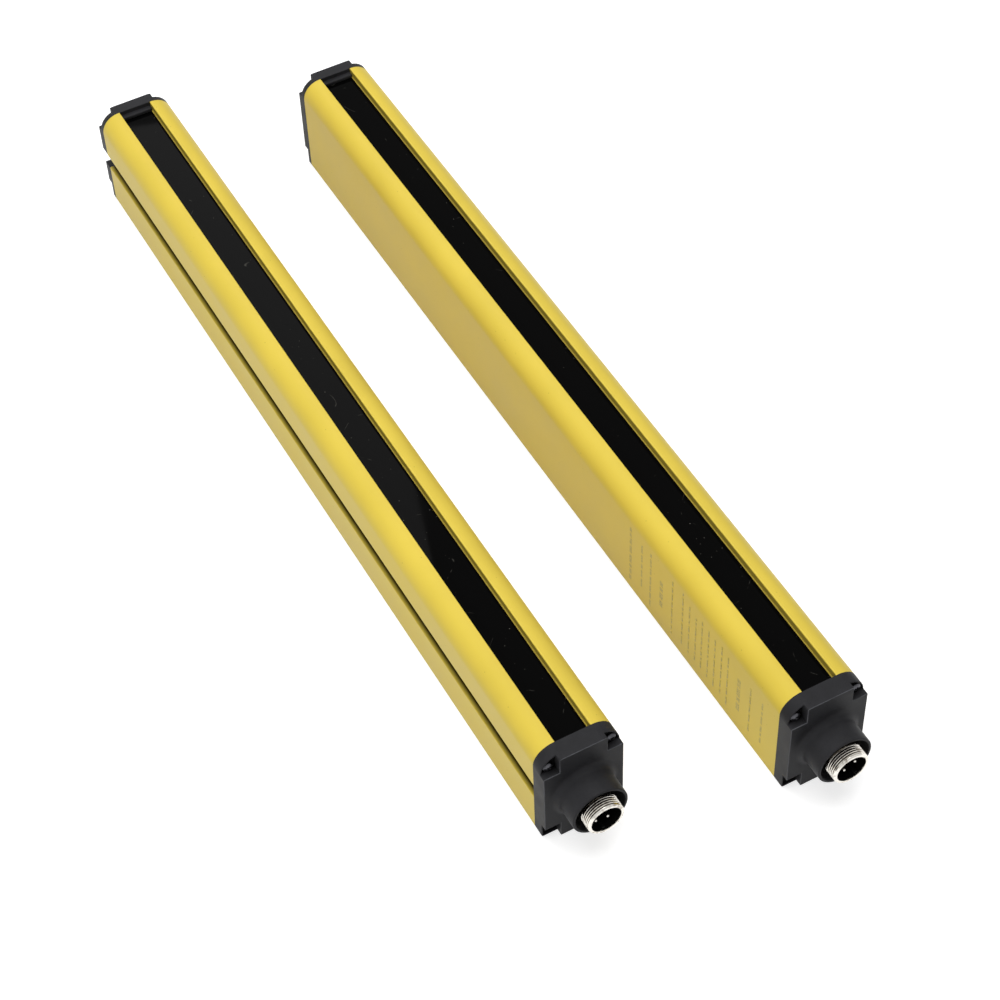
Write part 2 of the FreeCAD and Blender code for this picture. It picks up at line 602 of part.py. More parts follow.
def connector(bar):
    """Round threaded plug: shell with a key, insert, four pins, sealing ring and nut."""
    rim = cone("thread_radius - rim_chamfer", "thread_radius", "0", SHELL_FRONT, AXIS_Z, "rim_chamfer")
    thread_low = f"{SHELL_FRONT} + rim_chamfer"
    thread = rod("thread_radius", "0", thread_low, AXIS_Z, f"{FLANGE_FRONT} - {SHELL_FRONT}")
    flange = rod("flange_radius", "0", FLANGE_FRONT, AXIS_Z, "flange_thickness")
    tail = rod("tail_radius", "0", FLANGE_FRONT, AXIS_Z, f"{SHELL_BACK} - {FLANGE_FRONT}")
    socket_length = f"{INSERT_SEAT} - {SHELL_FRONT} + {OVERCUT}"
    socket = rod("socket_radius", "0", f"{SHELL_FRONT} - {OVERCUT}", AXIS_Z, socket_length)
    tail_bore = rod(
        "tail_bore_radius", "0", f"{INSERT_SEAT} - {OVERCUT}", AXIS_Z,
        f"{SHELL_BACK} - {INSERT_SEAT} + 2 * {OVERCUT}",
    )
    tube = cut(fuse([rim, thread, flange, tail]), [socket, tail_bore])
    key = box(
        "-key_width / 2", f"{SHELL_FRONT} + key_setback", "-(socket_radius + rim_chamfer)", "key_width",
        "socket_depth - key_setback", "key_height + rim_chamfer",
    )
    bar.keep(fuse([tube, turned([key], bar)]), "connector_shell")

    face = rod("socket_radius - fit_gap", "0", INSERT_FACE, AXIS_Z, f"{INSERT_SEAT} - {INSERT_FACE}")
    back = rod("tail_bore_radius - fit_gap", "0", INSERT_SEAT, AXIS_Z, "insert_tail")
    holes = []
    pins = []
    for x, z in pin_places():
        length = f"{PIN_BACK} - {SHELL_FRONT}"
        holes.append(rod("pin_radius + pin_fit", x, SHELL_FRONT, z, length))
        tip_y = f"{SHELL_FRONT} + pin_setback + pin_radius"
        pin = rod("pin_radius", x, tip_y, z, f"{PIN_BACK} - ({tip_y})")
        pins.append(fuse([ball("pin_radius", x, tip_y, z), pin]))
    bar.keep(cut(fuse([face, back]), [turned(holes, bar)]), "connector_insert")
    bar.keep(together([turned(pins, bar)]), "connector_pins")

    seal = ring("ring_radius", "ring_cord_radius", "0", f"{WEB_FRONT} + ring_cord_radius", AXIS_Z)
    bar.keep(together([seal]), "connector_seal")

    hexagon = doc.addObject("Part::Prism", "Hexagon")
    hexagon.Polygon = 6
    bind(hexagon, Circumradius="nut_across / sqrt(3)", Height="nut_thickness")
    put(hexagon, "0", WEB_BACK, AXIS_Z, ALONG_Y)
    bore_length = f"nut_thickness + 2 * {OVERCUT}"
    bore = rod("tail_radius + fit_gap", "0", f"{WEB_BACK} - {OVERCUT}", AXIS_Z, bore_length)
    bar.keep(cut(hexagon, [bore]), "connector_nut")


PIN_ANGLES = (45, 135, 225, 315)


def pin_places():
    """Pins about the connector's axis, before it is turned."""
    return [(f"pin_circle * cos({angle}deg)", f"pin_circle * sin({angle}deg)") for angle in PIN_ANGLES]


def wiring(bar):
    """A lead from each pin, straight back and then down into one of the header's two rows."""
    wires = []
    for angle in PIN_ANGLES:
        lower = math.sin(math.radians(size(bar.turn) + angle)) < 0
        row = "-" if lower else "+"
        row_y = f"(header_start + header_length / 2 {row} header_row / 2)"
        x = f"pin_circle * cos(({bar.turn} + {angle}) * 1deg)"
        z = f"({AXIS_Z} + pin_circle * sin(({bar.turn} + {angle}) * 1deg))"
        level = rod("wire_radius", x, PIN_BACK, z, f"{row_y} - wire_bend - {PIN_BACK}")
        bend = doc.addObject("Part::Torus", "Bend")
        bind(bend, Radius1="wire_bend", Radius2="wire_radius")
        bend.Angle3 = 90
        put(bend, x, f"{row_y} - wire_bend", f"{z} - wire_bend", BEND_DOWN)
        drop = post("wire_radius", x, row_y, HEADER_TOP, f"{z} - wire_bend - {HEADER_TOP}")
        wires.append(fuse([level, bend, drop]))
    bar.keep(together(wires), "lead_wires")
    height = f"{HEADER_TOP} - {BOARD_TOP}"
    header = centred_box("(header_width / 2)", "header_start", BOARD_TOP, "header_length", height)
    bar.keep(together([header]), "wire_header")


def board(bar):
    """Circuit board in the profile's guides, with the parts on its underside."""
    plate = centred_box(
        BOARD_HALF, "board_end_gap", "board_height", "bar_length - 2 * board_end_gap", "board_thickness"
    )
    bar.keep(together([plate]), "circuit_board")
    processor = centred_box(
        "(processor_size / 2)", "processor_place - processor_size / 2", "board_height - processor_height",
        "processor_size", "processor_height",
    )
    bar.keep(together([processor]), "processor")
    drivers = []
    for number in range(how_many("driver_first", "driver_pitch")):
        low_y = f"driver_first + {number} * driver_pitch - driver_length / 2"
        low_z = "board_height - driver_height"
        drivers.append(centred_box("(driver_width / 2)", low_y, low_z, "driver_length", "driver_height"))
    bar.keep(together(drivers), "driver_chips")
    cans = []
    for side in ("-", ""):
        x = f"{side}capacitor_spacing / 2"
        low_z = "board_height - capacitor_height"
        cans.append(post("capacitor_radius", x, "capacitor_place", low_z, "capacitor_height"))
    bar.keep(together(cans), "capacitors")


def beam_places():
    beams = range(how_many("first_beam", "beam_pitch"))
    return [f"(first_beam + {number} * beam_pitch)" for number in beams]


def beam_leds(bar):
    lamps = []
    for y in beam_places():
        body = post("lamp_radius", "0", y, BOARD_TOP, "lamp_height")
        lamps.append(fuse([body, ball("lamp_radius", "0", y, f"{BOARD_TOP} + lamp_height")]))
    bar.keep(together(lamps), "beam_leds")


def photodiodes(bar):
    receivers = []
    for y in beam_places():
        low_y = f"{y} - cell_length / 2"
        body = centred_box("(cell_width / 2)", low_y, BOARD_TOP, "cell_length", "cell_height")
        receivers.append(fuse([body, ball("cell_dome_radius", "0", y, f"{BOARD_TOP} + cell_height")]))
    bar.keep(together(receivers), "photodiodes")


def optics(bar):
    """Carrier with one dark chamber to each beam, the lens strip on it and a foam pad behind it."""
    length = f"{CARRIER_END} - {CARRIER_START}"
    height = f"{LENS_BOTTOM} - {BOARD_TOP}"
    block = centred_box(CARRIER_HALF, CARRIER_START, BOARD_TOP, length, height)
    chamber_half = f"({CARRIER_HALF} - carrier_wall)"
    chamber_height = f"{LENS_BOTTOM} - carrier_top - {BOARD_TOP} + {OVERCUT}"
    chamber_length = "(beam_pitch - carrier_wall)"
    chamber_low = f"{BOARD_TOP} - {OVERCUT}"
    tools = []
    domes = []
    dome_ball = "((lens_radius ^ 2 + lens_rise ^ 2) / (2 * lens_rise))"
    for y in beam_places():
        low_y = f"{y} - {chamber_length} / 2"
        tools.append(centred_box(chamber_half, low_y, chamber_low, chamber_length, chamber_height))
        hole_low = f"{LENS_BOTTOM} - carrier_top - {OVERCUT}"
        tools.append(post("aperture_radius", "0", y, hole_low, f"carrier_top + 2 * {OVERCUT}"))
        domes.append(ball(dome_ball, "0", y, f"{LENS_TOP} + lens_rise - {dome_ball}"))
    tail_low = f"({beam_places()[-1]} + beam_pitch / 2 + carrier_wall / 2)"
    tail_length = f"{CARRIER_END} - carrier_wall - {tail_low}"
    tools.append(centred_box(chamber_half, tail_low, chamber_low, tail_length, chamber_height))
    bar.keep(cut(block, tools), "optics_carrier")

    plate = centred_box(CARRIER_HALF, CARRIER_START, LENS_BOTTOM, length, "lens_plate")
    below = centred_box(
        f"({CARRIER_HALF} + {dome_ball})", CARRIER_START, f"{LENS_BOTTOM} - 2 * {dome_ball}", length,
        f"2 * {dome_ball}",
    )
    bar.keep(cut(fuse([plate] + domes), [below]), "lens_strip")

    pad = centred_box(CARRIER_HALF, CARRIER_END, BOARD_TOP, "pad_thickness", height)
    bar.keep(together([pad]), "optics_pad")


def status_lamps(bar):
    """Three small lamps on the board and the clear guide that carries their light to the window."""
    lamps = []
    posts = []
    lamp_top = f"({BOARD_TOP} + status_lamp_height)"
    for place in (-1, 0, 1):
        x = f"{place} * status_spacing"
        lamps.append(
            box(f"{x} - status_lamp_size / 2", "status_place - status_lamp_length / 2", BOARD_TOP,
                "status_lamp_size", "status_lamp_length", "status_lamp_height")
        )
        height = f"{WINDOW_BOTTOM} - guide_window_gap - {lamp_top}"
        posts.append(post("guide_post_radius", x, "status_place", lamp_top, height))
    bar.keep(together(lamps), "status_lamps")
    plate_low = "status_place - guide_length / 2"
    plate = centred_box(CARRIER_HALF, plate_low, LENS_BOTTOM, "guide_length", "lens_plate")
    bar.keep(fuse([plate] + posts), "light_guide")


emitter = Bar("emitter", -1, "-bar_spacing / 2", PAIR_Y, "emitter_turn")
receiver = Bar("receiver", 1, "bar_spacing / 2", f"{PAIR_Y} - bar_stagger", "receiver_turn")

for bar in (emitter, receiver):
    housing(bar)
    window(bar)
    connector_cap(bar)
    far_cap(bar)
    gaskets(bar)
    cap_screws(bar)
    connector(bar)
    wiring(bar)
    board(bar)
    optics(bar)
    status_lamps(bar)
beam_leds(emitter)
photodiodes(receiver)

doc.recompute()

for thing in doc.Objects:
    if "Invalid" in thing.State or "Error" in thing.State:
        raise RuntimeError(f"{thing.Label} failed: {thing.State}")
for thing in sub_parts:
    if thing.Shape.isNull() or not thing.Shape.isValid() or not thing.Shape.Solids:
        raise RuntimeError(f"{thing.Label} has no sound shape")

os.makedirs("parts", exist_ok=True)
for thing in sub_parts:
    thing.Shape.exportStep(f"parts/{thing.Label}.step")
    print(f"{thing.Label}: {len(thing.Shape.Solids)} solids, {thing.Shape.Volume / 1000:.3f} cm3")
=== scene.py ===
"""Looks of a safety light curtain: an emitter bar and a receiver bar lying on a pale floor."""

import math
import random

import bmesh
import bpy
from bpy.props import FloatProperty, FloatVectorProperty, IntProperty, PointerProperty
from mathutils import Matrix, Vector


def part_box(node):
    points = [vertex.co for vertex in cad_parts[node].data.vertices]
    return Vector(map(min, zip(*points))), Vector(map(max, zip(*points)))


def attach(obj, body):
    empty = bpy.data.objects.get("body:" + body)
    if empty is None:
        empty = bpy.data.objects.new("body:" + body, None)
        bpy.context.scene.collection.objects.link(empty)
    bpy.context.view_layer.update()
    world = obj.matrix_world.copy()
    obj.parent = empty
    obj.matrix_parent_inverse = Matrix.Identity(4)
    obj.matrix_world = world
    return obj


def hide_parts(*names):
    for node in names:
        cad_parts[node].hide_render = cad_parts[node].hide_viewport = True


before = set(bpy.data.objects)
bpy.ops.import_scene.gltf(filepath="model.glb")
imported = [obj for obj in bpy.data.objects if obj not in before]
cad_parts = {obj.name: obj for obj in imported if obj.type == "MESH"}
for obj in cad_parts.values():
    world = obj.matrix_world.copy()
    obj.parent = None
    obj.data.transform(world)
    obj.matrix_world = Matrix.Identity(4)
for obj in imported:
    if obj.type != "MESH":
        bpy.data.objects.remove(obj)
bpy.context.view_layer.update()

bl_info = {
    "name": "Safety Light Curtain",
    "version": (1, 0, 0),
    "blender": (4, 5, 0),
    "location": "3D View > Sidebar > Light Curtain",
    "description": "Builds the outer pieces, the finishes and the stage of a safety light curtain",
    "category": "Object",
}

BARS = ("emitter", "receiver")
# The side of each bar that has the mounting groove: shapes are built with it on +X and mirrored.
GROOVE_SIDE = {"emitter": -1, "receiver": 1}
# Turn of each connector round the bar's length, with the groove on +X.
KEY_TURN = {"emitter": math.radians(-8), "receiver": math.radians(-28)}
MM = 1000.0
SMOOTH_BELOW = math.radians(38)
MERGE_MM = 0.0005
# Points this near to each other after a Boolean are one point.
CARVE_MERGE_MM = 0.004
# A face broader than this is a flat of the real piece; narrower ones are steps of a rounding.
BROAD_MM = 1.1
# The floor lies this far under the bars, so that their backs and the floor aren't in one plane.
FLOOR_GAP_MM = 0.2
# A rounding that fills its whole room closes on itself, so the fullest one takes this part of it.
FULL_BEVEL = 0.999
# Rounding of a screw port's boss, as a part of the boss's radius.
BOSS_ROUNDNESS = 0.95
# Cutters reach this far past what they cut.
PAST_MM = 1.0
# Small roundings of the profile's section, in millimetres: the ends of ledges and groove lips, the
# groove's floor, the lip over the window's edge, and the foot of the cavity.
LEDGE_ROUND, FLOOR_ROUND, LIP_ROUND, FOOT_ROUND = 0.2, 0.3, 0.1, 0.5
# Painted shade in the window slot, on its walls and on its floor beside the window. It starts this
# many edge breaks below the shoulders.
WALL_SHADE, LEDGE_SHADE, SHADE_START = 0.62, 0.3, 1.5
# Lengths of the printed bars and of the gaps between them, the shortest bar, and the ink's height,
# in millimetres.
BAR_LENGTHS, GAP_LENGTHS = (1.8, 5.5), (0.8, 1.3)
LEAST_BAR, INK_HEIGHT = 1.5, 0.02
SCREW_SEED, PRINT_SEED = 11, 4
# Small sizes of the connector, in millimetres: the rim's chamfer and the edges round it, the run-out
# of the thread's groove, and the bright start of the bore.
RIM_CHAMFER, BORE_EDGE, CREST_ROUND, TURNED_EDGE, RUN_OUT, BRIGHT_BORE = 0.4, 0.12, 0.05, 0.3, 0.2, 0.6
# The thread's ridge: how far it starts before the groove and stops before its end, how far its crest
# stays under the shell's outside and its root goes into the shell, and half its widths at the foot
# and at the crest, as parts of the pitch. Points this far below the root count as root.
RIDGE_LEAD, RIDGE_STOP, RIDGE_DROP, RIDGE_SINK, RIDGE_FOOT, RIDGE_FLAT = 0.3, 0.1, 0.01, 0.1, 0.46, 0.12
ROOT_BAND = 0.3
# The key's root in the shell and its edges. The insert's gap to the shell, and its shallow ring: its
# depth, its four steps in from the insert's edge, and their edges.
KEY_SINK, KEY_EDGE, INSERT_GAP, FINE_EDGE = 0.2, 0.15, 0.1, 0.1
BEAD_DEPTH, BEAD_STEPS = 0.25, (1.35, 1.15, 0.65, 0.45)
# Rounding of a pin's tip, as a part of its radius, and of its other end, in millimetres, and the
# sides of a pin.
PIN_NOSE, PIN_HEEL, PIN_STEPS = 0.8, 0.2, 20
# The floor of a cross recess against its mouth: along its arm, in depth, and across its arm.
RECESS_TAPER = (0.45, 1, 0.7)


def linear(hex_colour):
    """Linear RGBA of an sRGB hex colour."""
    channels = [int(hex_colour[place:place + 2], 16) / 255 for place in (1, 3, 5)]
    straight = [c / 12.92 if c <= 0.04045 else ((c + 0.055) / 1.055) ** 2.4 for c in channels]
    return (*straight, 1.0)


def length(name, description, millimetres):
    """A length that a user may change, kept in metres."""
    return FloatProperty(
        name=name, description=description, default=millimetres / MM, min=0.0, unit="LENGTH",
        subtype="DISTANCE",
    )


def colour(name, description, hex_colour):
    """A colour that a user may change."""
    return FloatVectorProperty(
        name=name, description=description, default=linear(hex_colour), size=4, min=0.0, max=1.0,
        subtype="COLOR",
    )


def power(name, description, watts):
    """A lamp's power that a user may change."""
    return FloatProperty(name=name, description=description, default=watts, min=0.0, unit="POWER")


class ProfileSizes(bpy.types.PropertyGroup):
    """Sizes of the extruded profile's section"""

    shoulder_radius: length("Shoulder radius", "Round edges beside the window", 9.0)
    foot_radius: length("Foot radius", "Edges of the back", 1.0)
    edge_break: length("Edge break", "Broken edges of the window slot and the groove", 0.35)
    wall: length("Wall", "Thickness of the side and back walls", 1.8)
    window_gap: length("Window gap", "Opening between the shoulders", 15.6)
    window_depth: length("Window depth", "Window face below the shoulders", 4.0)
    window_play: length("Window play", "Room above the window's edges in their slots", 0.1)
    window_edge: length("Window edge", "Broken edges of the window", 0.12)
    window_room: length("Window room", "Height of the side slots for the window and its seals", 2.5)
    window_bite: length("Window bite", "How far those slots go into the shoulders", 1.4)
    lip_reach: length("Lip reach", "How far the lip over the window's edge stands in", 0.4)
    lip_height: length("Lip height", "Top of that lip above the window", 0.5)
    ledge_reach: length("Ledge reach", "How far the ledge stands in past the opening", 0.8)
    ledge_thickness: length("Ledge thickness", "Ledge that carries the window", 3.0)
    groove_mouth: length("Groove mouth", "Opening of the side groove", 7.6)
    groove_lip: length("Groove lip", "Thickness of the groove's lips", 2.0)
    groove_inside: length("Groove inside", "Height of the side groove behind its lips", 13.0)
    groove_depth: length("Groove depth", "Side groove from the profile's side to its floor", 6.8)
    groove_wall: length("Groove wall", "Wall round the side groove", 1.6)
    groove_height: length("Groove height", "Middle of the side groove above the back", 24.7)
    guide_height: length("Guide height", "Lower board guide above the back", 10.4)
    guide_rib: length("Guide rib", "Thickness of a board guide's rib", 1.5)
    guide_reach: length("Guide reach", "How far a rib stands out from the wall", 1.8)
    board_room: length("Board room", "Between the two ribs of a board guide", 1.8)
    port_side: length("Port side", "Screw ports from the profile's side", 3.7)
    port_edge: length("Port edge", "Screw ports from the profile's front and back", 6.1)
    port_bore: length("Port bore", "Radius of a screw port", 1.25)
    port_boss: length("Port boss", "Radius of the boss round a lower port", 2.7)


class CapSizes(bpy.types.PropertyGroup):
    """Sizes of the moulded end caps"""

    connector_flange: length("Connector flange", "Plain rim of the cap with the connector", 5.5)
    far_flange: length("Far flange", "Plain rim of the far cap", 3.0)
    block: length("Block", "How far the cross-shaped block stands out", 3.0)
    pocket_width: length("Pocket width", "Corner pocket across the bar", 7.0)
    pocket_height: length("Pocket height", "Corner pocket up the bar", 8.5)
    pocket_rim: length("Pocket rim", "Rim between a pocket's floor and the outline", 0.6)
    pocket_sink: length("Pocket sink", "Pocket floor below its rim", 1.2)
    edge_radius: length("Edge radius", "Rounding of the moulded edges", 0.26)
    collar_radius: length("Collar radius", "Outside of the round collar", 12.2)
    collar_opening: length("Collar opening", "Inside of the round collar", 11.0)
    collar_reach: length("Collar reach", "How far the collar stands out from the block", 12.65)
    collar_fillet: length("Collar fillet", "Hollow rounding at the collar's root", 3.0)
    collar_floor: length("Collar floor", "Floor of the collar in front of the block's face", 2.0)
    collar_root: length("Collar root", "How far the collar goes into the block", 0.6)
    rim_outside: length("Rim outside", "Outer rounding of the collar's rim", 0.5)
    rim_inside: length("Rim inside", "Inner rounding of the collar's rim", 0.3)
    web_bore: length("Web bore", "Hole in the wall that the connector goes through", 7.2)
    notch_margin: length("Notch margin", "Far cap's notch beyond each lip of the groove", 0.6)
    tongue_length: length("Tongue length", "Tongue of the far cap on the window", 2.5)
    tongue_height: length("Tongue height", "Thickness of that tongue", 2.0)
    tongue_play: length("Tongue play", "Between the tongue and each side of the slot", 0.1)
    tongue_root: length("Tongue root", "How far the tongue goes into the cap", 0.5)
    tongue_edge: length("Tongue edge", "Rounding of the tongue's edges", 0.5)


class ScrewSizes(bpy.types.PropertyGroup):
    """Sizes of the pan-head cap screws"""

    head_radius: length("Head radius", "Pan head", 2.2)
    head_height: length("Head height", "Pan head above its seat", 1.7)
    crown_radius: length("Crown radius", "Ball that rounds the head", 3.8)
    head_edge: length("Head edge", "Brim of the head below its crown", 0.15)
    shank_radius: length("Shank radius", "Shank", 1.2)
    shank_length: length("Shank length", "Shank under the head", 12.0)
    recess_width: length("Recess width", "Arm of the cross recess", 0.7)
    recess_length: length("Recess length", "Across the cross recess", 2.6)
    recess_depth: length("Recess depth", "Depth of the cross recess", 0.9)


class ConnectorSizes(bpy.types.PropertyGroup):
    """Sizes of the round connector"""

    thread_radius: length("Thread radius", "Outside of the thread", 8.0)
    thread_pitch: length("Thread pitch", "From one ridge to the next", 1.0)
    thread_depth: length("Thread depth", "Ridge above the root", 0.6)
    plain_rim: length("Plain rim", "Rim to the first turn of the thread", 0.85)
    thread_end: length("Thread end", "Rim to the end of the thread", 5.7)
    shell_depth: length("Shell depth", "Rim to the wall that the connector is bolted to", 15.15)
    flange_radius: length("Flange radius", "Flange against that wall", 10.0)
    flange_thickness: length("Flange thickness", "Flange against that wall", 2.0)
    tail_radius: length("Tail radius", "Tail through the wall", 7.0)
    tail_bore: length("Tail bore", "Bore of the tail", 5.4)
    tail_length: length("Tail length", "Tail behind the flange", 8.0)
    socket_radius: length("Socket radius", "Inside of the shell", 6.6)
    socket_depth: length("Socket depth", "Rim to the face of the insert", 8.0)
    insert_seat: length("Insert seat", "Seat of the insert behind the flange", 2.5)
    insert_end: length("Insert end", "End of the insert behind the flange", 7.0)
    key_width: length("Key width", "Key inside the shell", 1.4)
    key_height: length("Key height", "Key inside the shell", 1.0)
    key_setback: length("Key setback", "Rim to the start of the key", 1.0)
    pin_radius: length("Pin radius", "Contact pin", 0.75)
    pin_circle: length("Pin circle", "Circle that the pins stand on", 3.9)
    pin_setback: length("Pin setback", "Rim to the tips of the pins", 2.65)
    pin_end: length("Pin end", "End of the pins behind the flange", 9.0)
    steps: IntProperty(name="Steps", description="Sides of the turned pieces", default=96, min=24, max=256)


class CurtainColours(bpy.types.PropertyGroup):
    """Colours of the outer finishes"""

    profile: colour("Profile", "Coat on the aluminium profile", "#DCC34E")
    cap: colour("Caps", "Moulded end caps", "#2A2A2C")
    window: colour("Window", "Dark filter window", "#050505")
    plating: colour("Plating", "Nickel on the connector", "#E6E2DA")
    ink: colour("Ink", "Printed field on the receiver's side", "#B7A450")


class StageSizes(bpy.types.PropertyGroup):
    """Camera and lamps"""

    lens: FloatProperty(name="Lens", description="Focal length", default=89.37, min=1.0, unit="CAMERA")
    back_lamp: power("Back lamp", "Lamp behind", 10.5)
    top_lamp: power("Top lamp", "Lamp overhead", 22.0)
    side_lamp: power("Side lamp", "Lamp at the left", 8.5)
    room: FloatProperty(name="Room", description="Light from all round", default=0.21, min=0.0, max=1.0)


# Materials


def add_node(tree, kind, inputs=None, **settings):
    """A shader node with its settings.

    Each input is set to a value, or linked from a socket or from a node's first shown output.
    """
    made = tree.nodes.new("ShaderNode" + kind)
    for name, value in settings.items():
        setattr(made, name, value)
    for name, value in (inputs or {}).items():
        if isinstance(value, bpy.types.Node):
            value = next(socket for socket in value.outputs if socket.enabled)
        if isinstance(value, bpy.types.NodeSocket):
            tree.links.new(value, made.inputs[name])
        else:
            made.inputs[name].default_value = value
    return made


def new_finish(name):
    """The material of that name, its emptied node tree, and the place on the piece."""
    finish = bpy.data.materials.get(name) or bpy.data.materials.new(name)
    finish.use_nodes = True
    tree = finish.node_tree
    tree.nodes.clear()
    return finish, tree, add_node(tree, "TexCoord").outputs["Object"]


def per_metre(millimetres):
    """Noise scale whose grains are that size."""
    return MM / millimetres


def powder_coated_aluminium(tint):
    """Satin powder coat on an extrusion.

    A fine orange peel and slow changes of gloss break up the reflections, faint die lines run along
    the bar, and specks of dust darken it here and there. The real peel is about 0.3 mm and is drawn
    at 0.9 mm so that it shows. Inside the slots the colour is pulled towards dark olive as painted
    shade, from none at their edges to full inside.
    """
    finish, tree, place = new_finish("powder_coated_aluminium")
    clouds = add_node(tree, "TexNoise", {"Vector": place, "Scale": per_metre(45), "Detail": 3.0})
    peel = add_node(tree, "TexNoise", {"Vector": place, "Scale": per_metre(0.9)})
    stretched = add_node(tree, "Mapping", {"Vector": place, "Scale": (1.0, 0.01, 1.0)})
    die_lines = add_node(tree, "TexNoise", {"Vector": stretched, "Scale": per_metre(0.8)})
    specks = add_node(tree, "TexVoronoi", {"Vector": place, "Scale": per_metre(6)})
    speck_mask = add_node(
        tree, "MapRange", {"Value": specks, "From Min": 0.03, "From Max": 0.05, "To Min": 0.72}
    )
    shade = add_node(
        tree, "MapRange",
        {"Value": clouds, "From Min": 0.3, "From Max": 0.7, "To Min": 0.95, "To Max": 1.03},
    )
    dimming = add_node(tree, "Math", {0: shade, 1: speck_mask}, operation="MULTIPLY")
    coated = add_node(tree, "VectorMath", {0: tint[:3], "Scale": dimming}, operation="SCALE")
    # Painted shade: the deeper a point lies in a slot, the nearer its colour is pulled to dark olive.
    recess = add_node(tree, "Attribute", attribute_name="recess_depth")
    body = add_node(
        tree, "Mix", {"Factor": recess.outputs["Fac"], "A": coated, "B": linear("#5A4E20")},
        data_type="RGBA",
    )
    gloss = add_node(
        tree, "MapRange",
        {"Value": clouds, "From Min": 0.3, "From Max": 0.7, "To Min": 0.36, "To Max": 0.44},
    )
    lines = add_node(tree, "Bump", {"Height": die_lines, "Distance": 0.00002, "Strength": 0.3})
    surface = add_node(
        tree, "Bump", {"Height": peel, "Distance": 0.00003, "Strength": 0.5, "Normal": lines}
    )
    shader = add_node(
        tree, "BsdfPrincipled",
        {"Base Color": body, "Roughness": gloss, "Normal": surface, "IOR": 1.5, "Specular IOR Level": 0.12},
    )
    add_node(tree, "OutputMaterial", {"Surface": shader})
    return finish


def polished_filter_acrylic(tint):
    """Cast acrylic dyed so dark that only infrared passes.

    It is black and glossy, with a thin film of dust specks and a few short curved hairlines that
    catch the light. The dust is drawn at 0.3 mm and the hairlines at 0.2 mm, coarser than they are.
    """
    finish, tree, place = new_finish("polished_filter_acrylic")
    dust = add_node(tree, "TexVoronoi", {"Vector": place, "Scale": per_metre(3.2)})
    dust_mask = add_node(
        tree, "MapRange", {"Value": dust, "From Min": 0.03, "From Max": 0.075, "To Min": 1.0, "To Max": 0.0}
    )
    patches = add_node(tree, "TexNoise", {"Vector": place, "Scale": per_metre(30)})
    patch_mask = add_node(
        tree, "MapRange", {"Value": patches, "From Min": 0.45, "From Max": 0.64, "To Max": 0.6}
    )
    specks = add_node(tree, "Math", {0: dust_mask, 1: patch_mask}, operation="MULTIPLY")
    # Where a slow noise crosses its middle value runs a curved line, and a second noise keeps short
    # stretches of it.
    drift = add_node(tree, "TexNoise", {"Vector": place, "Scale": per_metre(26), "Detail": 0.0})
    from_line = add_node(tree, "Math", {0: drift, 1: 0.5}, operation="SUBTRACT")
    off_line = add_node(tree, "Math", {0: from_line}, operation="ABSOLUTE")
    hairline = add_node(
        tree, "MapRange",
        {"Value": off_line, "From Min": 0.0008, "From Max": 0.003, "To Min": 1.0, "To Max": 0.0},
    )
    stretches = add_node(tree, "TexNoise", {"Vector": place, "Scale": per_metre(5), "Detail": 1.0})
    stretch_mask = add_node(
        tree, "MapRange", {"Value": stretches, "From Min": 0.57, "From Max": 0.65, "To Max": 0.17}
    )
    scratches = add_node(tree, "Math", {0: hairline, 1: stretch_mask}, operation="MULTIPLY")
    marks = add_node(tree, "Math", {0: specks, 1: scratches}, operation="MAXIMUM")
    body = add_node(tree, "Mix", {"Factor": marks, "A": tint, "B": linear("#8A8880")}, data_type="RGBA")
    film = add_node(
        tree, "MapRange",
        {"Value": patches, "From Min": 0.3, "From Max": 0.7, "To Min": 0.015, "To Max": 0.035},
    )
    shader = add_node(
        tree, "BsdfPrincipled", {"Base Color": body, "Roughness": film, "Specular IOR Level": 0.025}
    )
    add_node(tree, "OutputMaterial", {"Surface": shader})
    return finish


